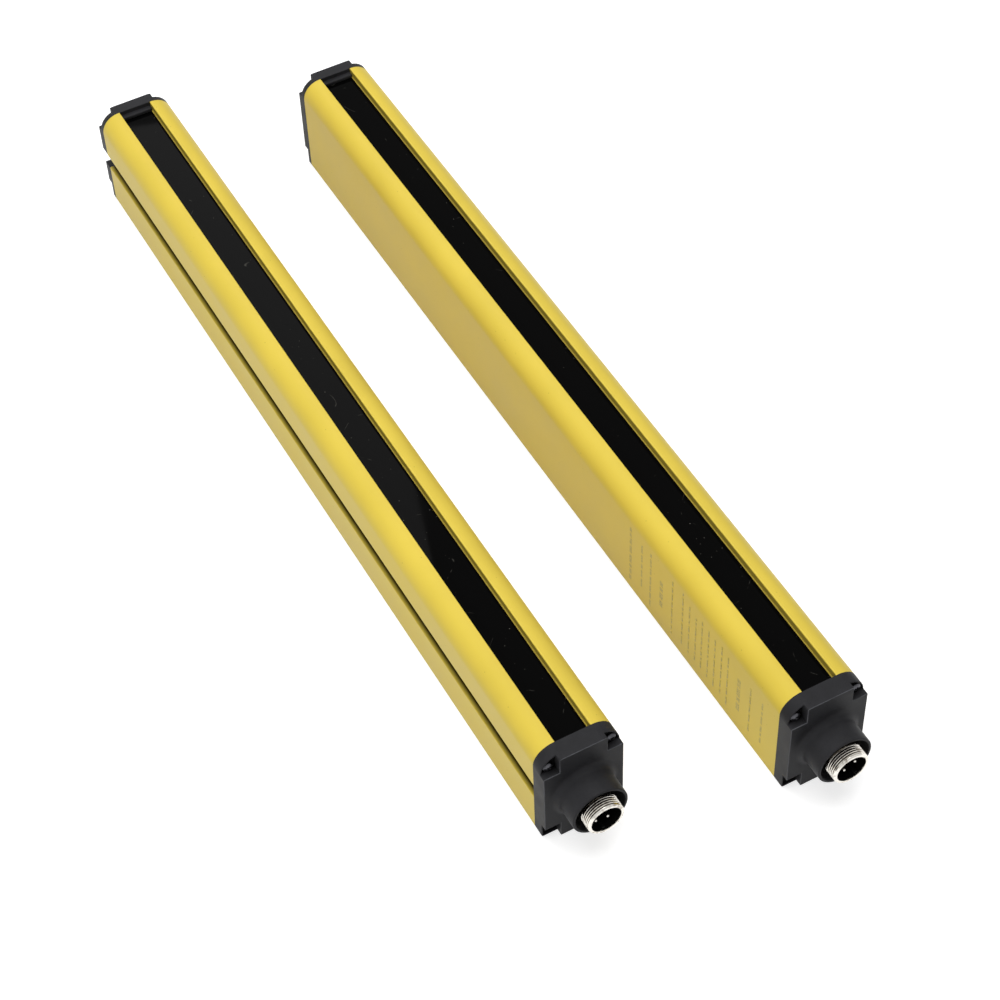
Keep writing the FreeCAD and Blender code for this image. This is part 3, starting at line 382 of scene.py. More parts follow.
def moulded_plastic(name, tint, grain_mm, roughness, relief_mm, gleam=0.3):
    """Injection-moulded plastic: a spark-eroded grain, with gloss and shade that change slowly.

    A filled or dusty surface scatters its highlight, so its gleam is below that of clean plastic, 0.5.
    Where a piece has the recess mark, the recess is left rough and its colour is painted near black as
    painted shade.
    Round the outer face, the rounded edges are painted a lighter grey in patches as a painted highlight.
    """
    finish, tree, place = new_finish(name)
    grain = add_node(tree, "TexNoise", {"Vector": place, "Scale": per_metre(grain_mm), "Detail": 3.0})
    clouds = add_node(tree, "TexNoise", {"Vector": place, "Scale": per_metre(9), "Detail": 3.0})
    shade = add_node(
        tree, "MapRange",
        {"Value": clouds, "From Min": 0.3, "From Max": 0.7, "To Min": 0.85, "To Max": 1.15},
    )
    body = add_node(tree, "VectorMath", {0: tint[:3], "Scale": shade}, operation="SCALE")
    gloss = add_node(
        tree, "MapRange",
        {"Value": clouds, "From Min": 0.3, "From Max": 0.7, "To Min": roughness - 0.06,
         "To Max": roughness + 0.06},
    )
    # Painted highlight: the rounded edges round the outer face are lightened grey in patches.
    edge = add_node(tree, "Attribute", attribute_name="edge_wear")
    highlight_places = add_node(
        tree, "MapRange",
        {"Value": clouds, "From Min": 0.35, "From Max": 0.65, "To Min": 0.25, "To Max": 0.9},
    )
    highlight_mask = add_node(tree, "Math", {0: edge.outputs["Fac"], 1: highlight_places}, operation="MULTIPLY")
    worn_and_highlit = add_node(tree, "Mix", {"Factor": highlight_mask, "A": body, "B": linear("#5C5D61")}, data_type="RGBA")
    # Painted shade: a recess is darkened towards black.
    recess = add_node(tree, "Attribute", attribute_name="recess_depth")
    deep = add_node(
        tree, "Mix", {"Factor": recess.outputs["Fac"], "A": worn_and_highlit, "B": linear("#060606")}, data_type="RGBA"
    )
    rough = add_node(tree, "Mix", {"Factor": recess.outputs["Fac"], "A": gloss, "B": 0.9})
    surface = add_node(tree, "Bump", {"Height": grain, "Distance": relief_mm / MM, "Strength": 0.6})
    shader = add_node(
        tree, "BsdfPrincipled",
        {"Base Color": deep, "Roughness": rough, "Normal": surface, "IOR": 1.5,
         "Specular IOR Level": gleam},
    )
    add_node(tree, "OutputMaterial", {"Surface": shader})
    return finish


def plated_metal(name, tint, roughness, tarnish):
    """Bright metal: fine turning marks round it, and a slight tarnish that dulls some of it.

    Where a piece has the root mark, which is 1 at the root of its thread and 0 at the crest, the roots
    are painted dark brown as painted shade.
    """
    finish, tree, place = new_finish(name)
    turned = add_node(tree, "Mapping", {"Vector": place, "Scale": (0.05, 1.0, 0.05)})
    marks = add_node(tree, "TexNoise", {"Vector": turned, "Scale": per_metre(0.25)})
    stains = add_node(tree, "TexNoise", {"Vector": place, "Scale": per_metre(2.5), "Detail": 3.0})
    stain_mask = add_node(
        tree, "MapRange", {"Value": stains, "From Min": 0.5, "From Max": 0.68, "To Max": 0.6}
    )
    worn_and_highlit = add_node(tree, "Mix", {"Factor": stain_mask, "A": tint, "B": tarnish}, data_type="RGBA")
    # Painted shade: the roots of the thread are darkened towards brown.
    root = add_node(tree, "Attribute", attribute_name="root_depth")
    root_shade = add_node(
        tree, "MapRange", {"Value": root.outputs["Fac"], "From Min": 0.25, "From Max": 0.8, "To Max": 0.92}
    )
    body = add_node(tree, "Mix", {"Factor": root_shade, "A": worn_and_highlit, "B": linear("#352B20")}, data_type="RGBA")
    gloss = add_node(
        tree, "MapRange",
        {"Value": stains, "From Min": 0.3, "From Max": 0.8, "To Min": roughness,
         "To Max": roughness + 0.12},
    )
    surface = add_node(tree, "Bump", {"Height": marks, "Distance": 0.000004, "Strength": 0.5})
    shader = add_node(
        tree, "BsdfPrincipled", {"Base Color": body, "Metallic": 1.0, "Roughness": gloss, "Normal": surface}
    )
    add_node(tree, "OutputMaterial", {"Surface": shader})
    return finish


def clear_moulding(name, tint, roughness):
    """Clear or tinted moulded lens: light passes, and faint flow lines bend it."""
    finish, tree, place = new_finish(name)
    flow = add_node(tree, "TexNoise", {"Vector": place, "Scale": per_metre(2)})
    gloss = add_node(
        tree, "MapRange",
        {"Value": flow, "From Min": 0.3, "From Max": 0.7, "To Min": roughness, "To Max": roughness + 0.05},
    )
    surface = add_node(tree, "Bump", {"Height": flow, "Distance": 0.00002, "Strength": 0.4})
    shader = add_node(
        tree, "BsdfPrincipled",
        {"Base Color": tint, "Roughness": gloss, "Normal": surface, "Transmission Weight": 0.85,
         "IOR": 1.5},
    )
    add_node(tree, "OutputMaterial", {"Surface": shader})
    return finish


def glass_fibre_laminate():
    """Solder-masked circuit board: green lacquer over a faint weave of glass cloth, a thread every 0.5 mm."""
    finish, tree, place = new_finish("glass_fibre_laminate")
    across = add_node(
        tree, "TexWave", {"Vector": place, "Scale": per_metre(0.5) / math.tau}, bands_direction="X"
    )
    along = add_node(
        tree, "TexWave", {"Vector": place, "Scale": per_metre(0.5) / math.tau}, bands_direction="Y"
    )
    weave = add_node(
        tree, "Math", {0: across.outputs["Fac"], 1: along.outputs["Fac"]}, operation="MULTIPLY"
    )
    body = add_node(
        tree, "Mix", {"Factor": weave, "A": linear("#14512F"), "B": linear("#1C6339")}, data_type="RGBA"
    )
    shader = add_node(tree, "BsdfPrincipled", {"Base Color": body, "Roughness": 0.3})
    add_node(tree, "OutputMaterial", {"Surface": shader})
    return finish


def screen_printed_ink(tint):
    """Matt screen ink on the coat: thin, so its cover is uneven and the mesh leaves a faint dot grain."""
    finish, tree, place = new_finish("screen_printed_ink")
    cover = add_node(tree, "TexNoise", {"Vector": place, "Scale": per_metre(0.7), "Detail": 3.0})
    body = add_node(
        tree, "MapRange",
        {"Value": cover, "From Min": 0.35, "From Max": 0.65, "To Min": 0.85, "To Max": 1.35},
    )
    shaded = add_node(tree, "VectorMath", {0: tint[:3], "Scale": body}, operation="SCALE")
    shader = add_node(tree, "BsdfPrincipled", {"Base Color": shaded, "Roughness": 0.6})
    add_node(tree, "OutputMaterial", {"Surface": shader})
    return finish


# Shapes, in millimetres, with the groove on +X and the origin in the middle of the profile's back
# at its connector end


def only(parts, kind):
    """The parts of that kind among what an operator returned."""
    return [part for part in parts if isinstance(part, kind)]


def in_scene(name, data):
    """A new object that shows the data."""
    made = bpy.data.objects.new(name, data)
    bpy.context.scene.collection.objects.link(made)
    return made


def standing(axis_x, axis_z):
    """Matrix that stands a flat (radius, y) outline beside an axis along the bar."""
    return Matrix(((1, 0, 0, axis_x), (0, 0, 1, 0), (0, 0, 0, axis_z), (0, 0, 0, 1)))


def arc_steps(radius):
    """Edges in a quarter turn of that radius: about two a millimetre, from 3 to 20."""
    return max(3, min(20, round(radius * 2.2)))


def rounded_wire(bm, corners, place_y=0.0):
    """Closed wire through (x, z, radius) corners, each rounded by its radius."""
    verts = [bm.verts.new((x, place_y, z)) for x, z, _ in corners]
    for start, end in zip(verts, verts[1:] + verts[:1]):
        bm.edges.new((start, end))
    for vert, (_, _, radius) in zip(verts, corners):
        if radius:
            bmesh.ops.bevel(
                bm, geom=[vert], offset=radius, offset_type="OFFSET", segments=arc_steps(radius), profile=0.5,
                affect="VERTICES", material=-1,
            )


def fill_wires(bm):
    """Fills the area between the wires of bm and returns the faces."""
    made = bmesh.ops.triangle_fill(bm, use_beauty=True, use_dissolve=True, edges=bm.edges[:])
    return only(made["geom"], bmesh.types.BMFace)


def pull(bm, faces, distance):
    """Extrudes the faces along the bar and returns the moved ones."""
    made = bmesh.ops.extrude_face_region(bm, geom=faces)["geom"]
    bmesh.ops.translate(bm, verts=only(made, bmesh.types.BMVert), vec=(0, distance, 0))
    return only(made, bmesh.types.BMFace)


def block_between(bm, low, high, edge_radius=0.0):
    """Box between two corners, with its edges rounded."""
    low, high = Vector(low), Vector(high)
    spread = Matrix.Translation((low + high) / 2) @ Matrix.Diagonal((*(high - low), 1))
    verts = bmesh.ops.create_cube(bm, size=1, matrix=spread)["verts"]
    if edge_radius:
        edges = {edge for vert in verts for edge in vert.link_edges}
        bmesh.ops.bevel(
            bm, geom=list(edges), offset=edge_radius, offset_type="OFFSET", segments=3, profile=0.5,
            affect="EDGES", material=-1, clamp_overlap=True,
        )


def turned_ring(bm, corners, axis_z, steps, axis_x=0.0):
    """Closed (radius, y, rounding) outline turned once round an axis along the bar."""
    outline = bmesh.new()
    rounded_wire(outline, corners)
    bmesh.ops.transform(outline, matrix=standing(axis_x, axis_z), verts=outline.verts)
    bmesh.ops.spin(
        outline, geom=outline.verts[:] + outline.edges[:], cent=(axis_x, 0, axis_z), axis=(0, 1, 0),
        dvec=(0, 0, 0), angle=math.tau, steps=steps, use_merge=True, use_duplicate=False,
    )
    add_shape(bm, outline)


def add_shape(bm, other, matrix=None):
    """Adds another shape to bm, moved by the matrix, and frees it."""
    carrier = bpy.data.meshes.new("carrier")
    if matrix is not None:
        bmesh.ops.transform(other, matrix=matrix, verts=other.verts)
    other.to_mesh(carrier)
    other.free()
    bm.from_mesh(carrier)
    bpy.data.meshes.remove(carrier)


def carved(shape, cutter):
    """The shape less the cutter, by a Boolean modifier."""
    solids = []
    for name, part in (("shape", shape), ("cutter", cutter)):
        bmesh.ops.recalc_face_normals(part, faces=part.faces)
        mesh = bpy.data.meshes.new(name)
        part.to_mesh(mesh)
        part.free()
        solids.append(in_scene(name, mesh))
    boolean = solids[0].modifiers.new("carve", "BOOLEAN")
    boolean.operation = "DIFFERENCE"
    boolean.object = solids[1]
    boolean.solver = "EXACT"
    result = bmesh.new()
    result.from_object(solids[0], bpy.context.evaluated_depsgraph_get())
    for solid in solids:
        bpy.data.meshes.remove(solid.data)
    bmesh.ops.remove_doubles(result, verts=result.verts, dist=CARVE_MERGE_MM)
    return result


def round_sharp_edges(bm, radius, chosen):
    """Rounds the sharp outer edges that chosen(edge) keeps, and returns the faces of the roundings."""
    bmesh.ops.dissolve_limit(bm, angle_limit=math.radians(1), verts=bm.verts, edges=bm.edges)
    edges = [
        edge for edge in bm.edges
        if edge.is_manifold and edge.is_convex and edge.calc_face_angle() > SMOOTH_BELOW and chosen(edge)
    ]
    rounded = bmesh.ops.bevel(
        bm, geom=edges, offset=radius, offset_type="OFFSET", segments=3, profile=0.5, affect="EDGES",
        material=-1, clamp_overlap=False, loop_slide=True,
    )
    return rounded["faces"]


def bar_place(bar):
    """Middle of a bar's back at the connector end of its profile, in metres."""
    low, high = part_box(f"{bar}_housing")
    return Vector(((low.x + high.x) / 2, low.y, low.z))


def show_piece(name, bm, bar, finish, slot_name, *replaced):
    """Places the shape on its bar as one object, right way out, and smooth where it is round."""
    scaled = Matrix.Diagonal((GROOVE_SIDE[bar] / MM, 1 / MM, 1 / MM, 1))
    onto_bar = Matrix.Translation(bar_place(bar)) @ scaled
    bmesh.ops.remove_doubles(bm, verts=bm.verts, dist=MERGE_MM)
    bmesh.ops.transform(bm, matrix=onto_bar, verts=bm.verts)
    bmesh.ops.recalc_face_normals(bm, faces=bm.faces)
    bm.faces.index_update()
    flats = [
        face.index for face in bm.faces
        if face.calc_area() > BROAD_MM / MM * max(edge.calc_length() for edge in face.edges)
    ]
    mesh = bpy.data.meshes.new(name)
    bm.to_mesh(mesh)
    bm.free()
    mesh.set_sharp_from_angle(angle=SMOOTH_BELOW)
    for index in flats:
        mesh.polygons[index].use_smooth = False
    mesh.materials.append(finish)
    piece = in_scene(name, mesh)
    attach(piece, "root")
    if replaced:
        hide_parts(*replaced)
    return piece


def size_of(bar, node):
    """Lowest and highest corner of a bar's node on the bar's own axes, in millimetres."""
    low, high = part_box(f"{bar}_{node}")
    start = bar_place(bar)
    return (low - start) * MM, (high - start) * MM


def profile_outline(bm, width, height, place_y, inset=0.0):
    """Outside of the profile, which the caps share, or a line that far inside it."""
    profile = bpy.context.scene.curtain_profile
    side, top = width / 2 - inset, height - inset
    shoulder, foot = profile.shoulder_radius * MM - inset, profile.foot_radius * MM - inset
    corners = [(side, top, shoulder), (side, inset, foot), (-side, inset, foot), (-side, top, shoulder)]
    rounded_wire(bm, corners, place_y)


def port_places(sizes, half, top):
    """Axes of the four screw ports, which the cap screws share."""
    x, edge = half - sizes.port_side * MM, sizes.port_edge * MM
    return [(side * x, z) for side in (-1, 1) for z in (edge, top - edge)]


class CURTAIN_OT_housings(bpy.types.Operator):
    """Builds the two extruded profiles with their window slots, side grooves and screw ports"""

    bl_idname = "curtain.housings"
    bl_label = "Housings"

    def execute(self, context):
        sizes = context.scene.curtain_profile
        finish = powder_coated_aluminium(context.scene.curtain_colours.profile)
        for bar in BARS:
            low, high = size_of(bar, "housing")
            half, top = (high.x - low.x) / 2, high.z
            bm = bmesh.new()
            rounded_wire(bm, self.section(sizes, half, top), low.y)
            ports = port_places(sizes, half, top)
            for x, z in ports:
                lie = Matrix.Translation((x, low.y, z)) @ Matrix.Rotation(math.pi / 2, 4, "X")
                bmesh.ops.create_circle(
                    bm, cap_ends=False, radius=sizes.port_bore * MM, segments=24, matrix=lie
                )
            pull(bm, fill_wires(bm), high.y - low.y)
            self.mark_recesses(bm, sizes, half, top)
            show_piece(f"{bar}_extruded_profile", bm, bar, finish, "profile_yellow", f"{bar}_housing")
        return {"FINISHED"}

    def mark_recesses(self, bm, sizes, half, top):
        """Gives every point how deep it lies in the side groove or the window slot, for the painted shade."""
        depth = bm.verts.layers.float.new("recess_depth")
        middle, inside = sizes.groove_height * MM, sizes.groove_inside * MM / 2
        lip, groove_end = sizes.groove_lip * MM, half - sizes.groove_depth * MM
        slot_side, slot_floor = sizes.window_gap * MM / 2, top - sizes.window_depth * MM
        slot_edge = top - SHADE_START * sizes.edge_break * MM
        # Painted shade: it grows with depth into the side groove, and the window slot's walls and floor get
        # set amounts of it.
        for vert in bm.verts:
            x, z = vert.co.x, vert.co.z
            if x > groove_end - MERGE_MM and abs(z - middle) < inside + MERGE_MM:
                vert[depth] = min(1.0, (half - x) / lip)
            if abs(x) < slot_side + MERGE_MM and slot_floor < z < slot_edge:
                vert[depth] = WALL_SHADE if abs(x) > slot_side - MERGE_MM else LEDGE_SHADE

    def section(self, sizes, half, top):
        """Corners of the section in one run: the outside, then the window slot and the cavity."""
        wall, broken = sizes.wall * MM, sizes.edge_break * MM
        shoulder, foot = sizes.shoulder_radius * MM, sizes.foot_radius * MM
        inner, gap = half - wall, sizes.window_gap * MM / 2
        middle, mouth = sizes.groove_height * MM, sizes.groove_mouth * MM / 2
        inside = sizes.groove_inside * MM / 2
        lip, groove_end = half - sizes.groove_lip * MM, half - sizes.groove_depth * MM
        outside = [
            (gap, top, broken), (half, top, shoulder), (half, middle + mouth, broken),
            (lip, middle + mouth, LEDGE_ROUND), (lip, middle + inside, 0),
            (groove_end, middle + inside, FLOOR_ROUND), (groove_end, middle - inside, FLOOR_ROUND),
            (lip, middle - inside, 0), (lip, middle - mouth, LEDGE_ROUND), (half, middle - mouth, broken),
            (half, 0, foot), (-half, 0, foot), (-half, top, shoulder), (-gap, top, broken),
        ]
        sheet_top = top - (sizes.window_depth - sizes.window_play) * MM
        sheet_low = sheet_top - sizes.window_room * MM
        ceiling = sheet_low - sizes.ledge_thickness * MM
        sheet, throat = gap + sizes.window_bite * MM, gap - sizes.ledge_reach * MM
        lip_top, lip_end = sheet_top + sizes.lip_height * MM, gap - sizes.lip_reach * MM
        slot = [
            (gap, top - 2 * broken, 0), (gap, lip_top, 0), (lip_end, lip_top, LIP_ROUND),
            (lip_end, sheet_top, 0), (sheet, sheet_top, 0), (sheet, sheet_low, 0),
            (throat, sheet_low, LEDGE_ROUND), (throat, ceiling, 0), (inner, ceiling, 0),
        ]
        rib_end, rib = inner - sizes.guide_reach * MM, sizes.guide_rib * MM
        rib_low = sizes.guide_height * MM
        board_low = rib_low + rib
        board_high = board_low + sizes.board_room * MM
        port_z, boss = sizes.port_edge * MM, sizes.port_boss * MM
        boss_end, boss_round = half - sizes.port_side * MM - boss, boss * BOSS_ROUNDNESS
        side = [
            (inner, board_high + rib, 0), (rib_end, board_high + rib, 0), (rib_end, board_high, 0),
            (inner, board_high, 0), (inner, board_low, 0), (rib_end, board_low, 0), (rib_end, rib_low, 0),
            (inner, rib_low, 0), (inner, port_z + boss, 0), (boss_end, port_z + boss, boss_round),
            (boss_end, port_z - boss, boss_round), (inner, port_z - boss, 0), (inner, wall, FOOT_ROUND),
        ]
        round_groove = groove_end - sizes.groove_wall * MM
        behind_groove = inside + sizes.groove_wall * MM
        groove_back = [
            (inner, middle - behind_groove, 0), (round_groove, middle - behind_groove, 0),
            (round_groove, middle + behind_groove, 0), (inner, middle + behind_groove, 0),
        ]
        left = [(-x, z, radius) for x, z, radius in slot + side]
        return outside + left + side[::-1] + groove_back + slot[::-1]


class CURTAIN_OT_windows(bpy.types.Operator):
    """Builds the two dark windows as thin sheets with broken edges"""

    bl_idname = "curtain.windows"
    bl_label = "Windows"

    def execute(self, context):
        finish = polished_filter_acrylic(context.scene.curtain_colours.window)
        edge_radius = context.scene.curtain_profile.window_edge * MM
        for bar in BARS:
            low, high = size_of(bar, "front_window")
            bm = bmesh.new()
            block_between(bm, low, high, edge_radius)
            show_piece(f"{bar}_filter_window", bm, bar, finish, "window_black", f"{bar}_front_window")
        return {"FINISHED"}


def cap_body(sizes, width, height, back, flange, face, rooms):
    """Moulded cap from its back to its face: plain rim, then a cross-shaped block between the pockets."""
    bm = bmesh.new()
    profile_outline(bm, width, height, back)
    pull(bm, fill_wires(bm), flange - back)
    pocket_x, pocket_z = width / 2 - sizes.pocket_width * MM, sizes.pocket_height * MM
    cuts = [((side * pocket_x, 0, 0), (1, 0, 0)) for side in (-1, 1)]
    cuts += [((0, 0, z), (0, 0, 1)) for z in (pocket_z, height - pocket_z)]
    for point, normal in cuts:
        front = [cell for cell in bm.faces if abs(cell.calc_center_median().y - flange) < MERGE_MM]
        touching = {part for cell in front for part in (*cell.verts, *cell.edges, cell)}
        bmesh.ops.bisect_plane(bm, geom=list(touching), plane_co=point, plane_no=normal)
    cross = []
    for cell in bm.faces:
        middle = cell.calc_center_median()
        in_column = abs(middle.x) < pocket_x
        in_band = pocket_z < middle.z < height - pocket_z
        if abs(middle.y - flange) < MERGE_MM and (in_column or in_band):
            cross.append(cell)
    pull(bm, cross, face - flange)
    bmesh.ops.delete(bm, geom=cross, context="FACES")
    bm = carved(bm, rooms)
    edge_highlight, radius = bm.faces.layers.float.new("edge_wear"), sizes.edge_radius * MM

    def off_back(edge):
        """Whether the edge lies off the flat back."""
        return min(abs(vert.co.y - back) for vert in edge.verts) > MERGE_MM

    # Painted highlight: the roundings at the face are marked to be painted lighter.
    for cell in round_sharp_edges(bm, radius, off_back):
        if abs(cell.calc_center_median().y - face) < radius:
            cell[edge_highlight] = 1.0
    # Painted shade: the floors of the corner pockets are marked to be painted near black.
    depth = bm.verts.layers.float.new("recess_depth")
    well_floor = flange - math.copysign(sizes.pocket_sink * MM, face - flange)
    for vert in bm.verts:
        if abs(vert.co.y - well_floor) < MERGE_MM:
            vert[depth] = 1.0
    return bm


def corner_wells(sizes, width, height, flange, face):
    """The four deeper floors of the corner pockets: the inset outline less the cross, past the cap's face."""
    outwards = math.copysign(1, face - flange)
    low, high = flange - outwards * sizes.pocket_sink * MM, face + outwards * PAST_MM
    wells = bmesh.new()
    profile_outline(wells, width, height, low, sizes.pocket_rim * MM)
    pull(wells, fill_wires(wells), high - low)
    pocket_x, pocket_z = width / 2 - sizes.pocket_width * MM, sizes.pocket_height * MM
    near, far = min(low, high) - PAST_MM, max(low, high) + PAST_MM
    arms = (
        ((-pocket_x, near, -PAST_MM), (pocket_x, far, height + PAST_MM)),
        ((-width, near, pocket_z), (width, far, height - pocket_z)),
    )
    for corner, opposite in arms:
        arm = bmesh.new()
        block_between(arm, corner, opposite)
        wells = carved(wells, arm)
    return wells


class CURTAIN_OT_connector_caps(bpy.types.Operator):
    """Builds the caps that carry the connectors, with their corner pockets and round collars"""

    bl_idname = "curtain.connector_caps"
    bl_label = "Connector caps"

    def execute(self, context):
        sizes = context.scene.curtain_caps
        finish = moulded_plastic(
            "moulded_glass_filled_nylon", context.scene.curtain_colours.cap, grain_mm=0.5, roughness=0.5,
            relief_mm=0.03, gleam=0.1,
        )
        for bar in BARS:
            housing_low, housing_high = size_of(bar, "housing")
            width, height = housing_high.x - housing_low.x, housing_high.z
            flange, face = -sizes.connector_flange * MM, -(sizes.connector_flange + sizes.block) * MM
            rooms = corner_wells(sizes, width, height, flange, face)
            bm = cap_body(sizes, width, height, 0.0, flange, face, rooms)
            outside, opening = sizes.collar_radius * MM, sizes.collar_opening * MM
            fillet, rim = sizes.collar_fillet * MM, face - sizes.collar_reach * MM
            bore, floor = sizes.web_bore * MM, face - sizes.collar_floor * MM
            root, hollow = face + sizes.collar_root * MM, fillet * FULL_BEVEL
            rim_outside, rim_inside = sizes.rim_outside * MM, sizes.rim_inside * MM
            collar = [
                (outside + fillet, root, 0), (outside + fillet, face, 0), (outside, face, hollow),
                (outside, rim, rim_outside), (opening, rim, rim_inside), (opening, floor, 0),
                (bore, floor, 0), (bore, root, 0),
            ]
            turned_ring(bm, collar, height / 2, context.scene.curtain_connector.steps)
            show_piece(f"{bar}_moulded_connector_cap", bm, bar, finish, "cap_black", f"{bar}_connector_cap")
        return {"FINISHED"}


class CURTAIN_OT_far_caps(bpy.types.Operator):
    """Builds the caps at the other end, with a notch over the groove and a tongue on the window"""

    bl_idname = "curtain.far_caps"
    bl_label = "Far caps"

    def execute(self, context):
        sizes, profile = context.scene.curtain_caps, context.scene.curtain_profile
        finish = bpy.data.materials["moulded_glass_filled_nylon"]
        for bar in BARS:
            housing_low, housing_high = size_of(bar, "housing")
            width, height, back = housing_high.x - housing_low.x, housing_high.z, housing_high.y
            flange = back + sizes.far_flange * MM
            face = flange + sizes.block * MM
            rooms = corner_wells(sizes, width, height, flange, face)
            notch = (profile.groove_mouth / 2 + sizes.notch_margin) * MM
            notch_floor = width / 2 - (profile.groove_depth + sizes.notch_margin) * MM
            middle = profile.groove_height * MM
            block_between(
                rooms, (notch_floor, back - PAST_MM, middle - notch),
                (width / 2 + PAST_MM, face + PAST_MM, middle + notch),
            )
            bm = cap_body(sizes, width, height, back, flange, face, rooms)
            tongue = profile.window_gap * MM / 2 - sizes.tongue_play * MM
            low_y, low_z = back - sizes.tongue_length * MM, height - profile.window_depth * MM
            high_y, high_z = back + sizes.tongue_root * MM, low_z + sizes.tongue_height * MM
            block_between(
                bm, (-tongue, low_y, low_z), (tongue, high_y, high_z), sizes.tongue_edge * MM
            )
            show_piece(f"{bar}_moulded_far_cap", bm, bar, finish, "cap_black", f"{bar}_far_cap")
        return {"FINISHED"}


def cap_screw(sizes):
    """Pan-head screw with a cross recess, its seat at the origin and its head towards -Y."""
    head, height, ball = sizes.head_radius * MM, sizes.head_height * MM, sizes.crown_radius * MM
    shank, end = sizes.shank_radius * MM, sizes.shank_length * MM
    edge = sizes.head_edge * MM
    screw = bmesh.new()
    top = screw.verts.new((0, -height, 0))
    arc = bmesh.ops.spin(
        screw, geom=[top], cent=(0, ball - height, 0), axis=(0, 0, 1), dvec=(0, 0, 0),
        angle=math.asin((head - edge) / ball), steps=8, use_merge=False, use_duplicate=False,
    )
    last = only(arc["geom_last"], bmesh.types.BMVert)[0]
    side, brim = math.copysign(1, last.co.x), last.co.y + edge
    for radius, y in ((head, brim), (head, 0), (shank, 0), (shank, end), (0, end)):
        following = screw.verts.new((side * radius, y, 0))
        screw.edges.new((last, following))
        last = following
    bmesh.ops.spin(
        screw, geom=screw.verts[:] + screw.edges[:], cent=(0, 0, 0), axis=(0, 1, 0), dvec=(0, 0, 0),
        angle=math.tau, steps=32, use_merge=True, use_duplicate=False,
    )
    bmesh.ops.remove_doubles(screw, verts=screw.verts, dist=MERGE_MM)
    arm = (sizes.recess_length * MM, 2 * sizes.recess_depth * MM, sizes.recess_width * MM)
    for turn in (0, math.pi / 2):
        recess = bmesh.new()
        verts = bmesh.ops.create_cube(recess, size=1)["verts"]
        bmesh.ops.scale(recess, vec=arm, verts=verts)
        deep = [vert for vert in verts if vert.co.y > 0]
        bmesh.ops.scale(recess, vec=RECESS_TAPER, verts=deep)
        bmesh.ops.translate(recess, vec=(0, -height, 0), verts=verts)
        bmesh.ops.rotate(recess, cent=(0, 0, 0), matrix=Matrix.Rotation(turn, 3, "Y"), verts=verts)
        screw = carved(screw, recess)
    return screw


class CURTAIN_OT_cap_screws(bpy.types.Operator):
    """Builds the sixteen pan-head screws of the caps, each turned its own way"""

    bl_idname = "curtain.cap_screws"
    bl_label = "Cap screws"

    def execute(self, context):
        finish = plated_metal(
            "black_oxide_steel", linear("#505054"), roughness=0.28, tarnish=linear("#161616")
        )
        sizes, caps = context.scene.curtain_screws, context.scene.curtain_caps
        profile = context.scene.curtain_profile
        chance = random.Random(SCREW_SEED)
        for bar in BARS:
            low, high = size_of(bar, "housing")
            near_seat = (caps.pocket_sink - caps.connector_flange) * MM
            far_seat = high.y + (caps.far_flange - caps.pocket_sink) * MM
            rows = (("connector_cap_screws", near_seat, 0.0), ("far_cap_screws", far_seat, math.pi))
            for node, seat, facing in rows:
                bm = bmesh.new()
                for x, z in port_places(profile, (high.x - low.x) / 2, high.z):
                    place = Matrix.Translation((x, seat, z)) @ Matrix.Rotation(facing, 4, "Z")
                    twist = Matrix.Rotation(chance.uniform(0, math.pi / 2), 4, "Y")
                    add_shape(bm, cap_screw(sizes), place @ twist)
                show_piece(f"{bar}_pan_head_{node}", bm, bar, finish, "screw_black", f"{bar}_{node}")
        return {"FINISHED"}


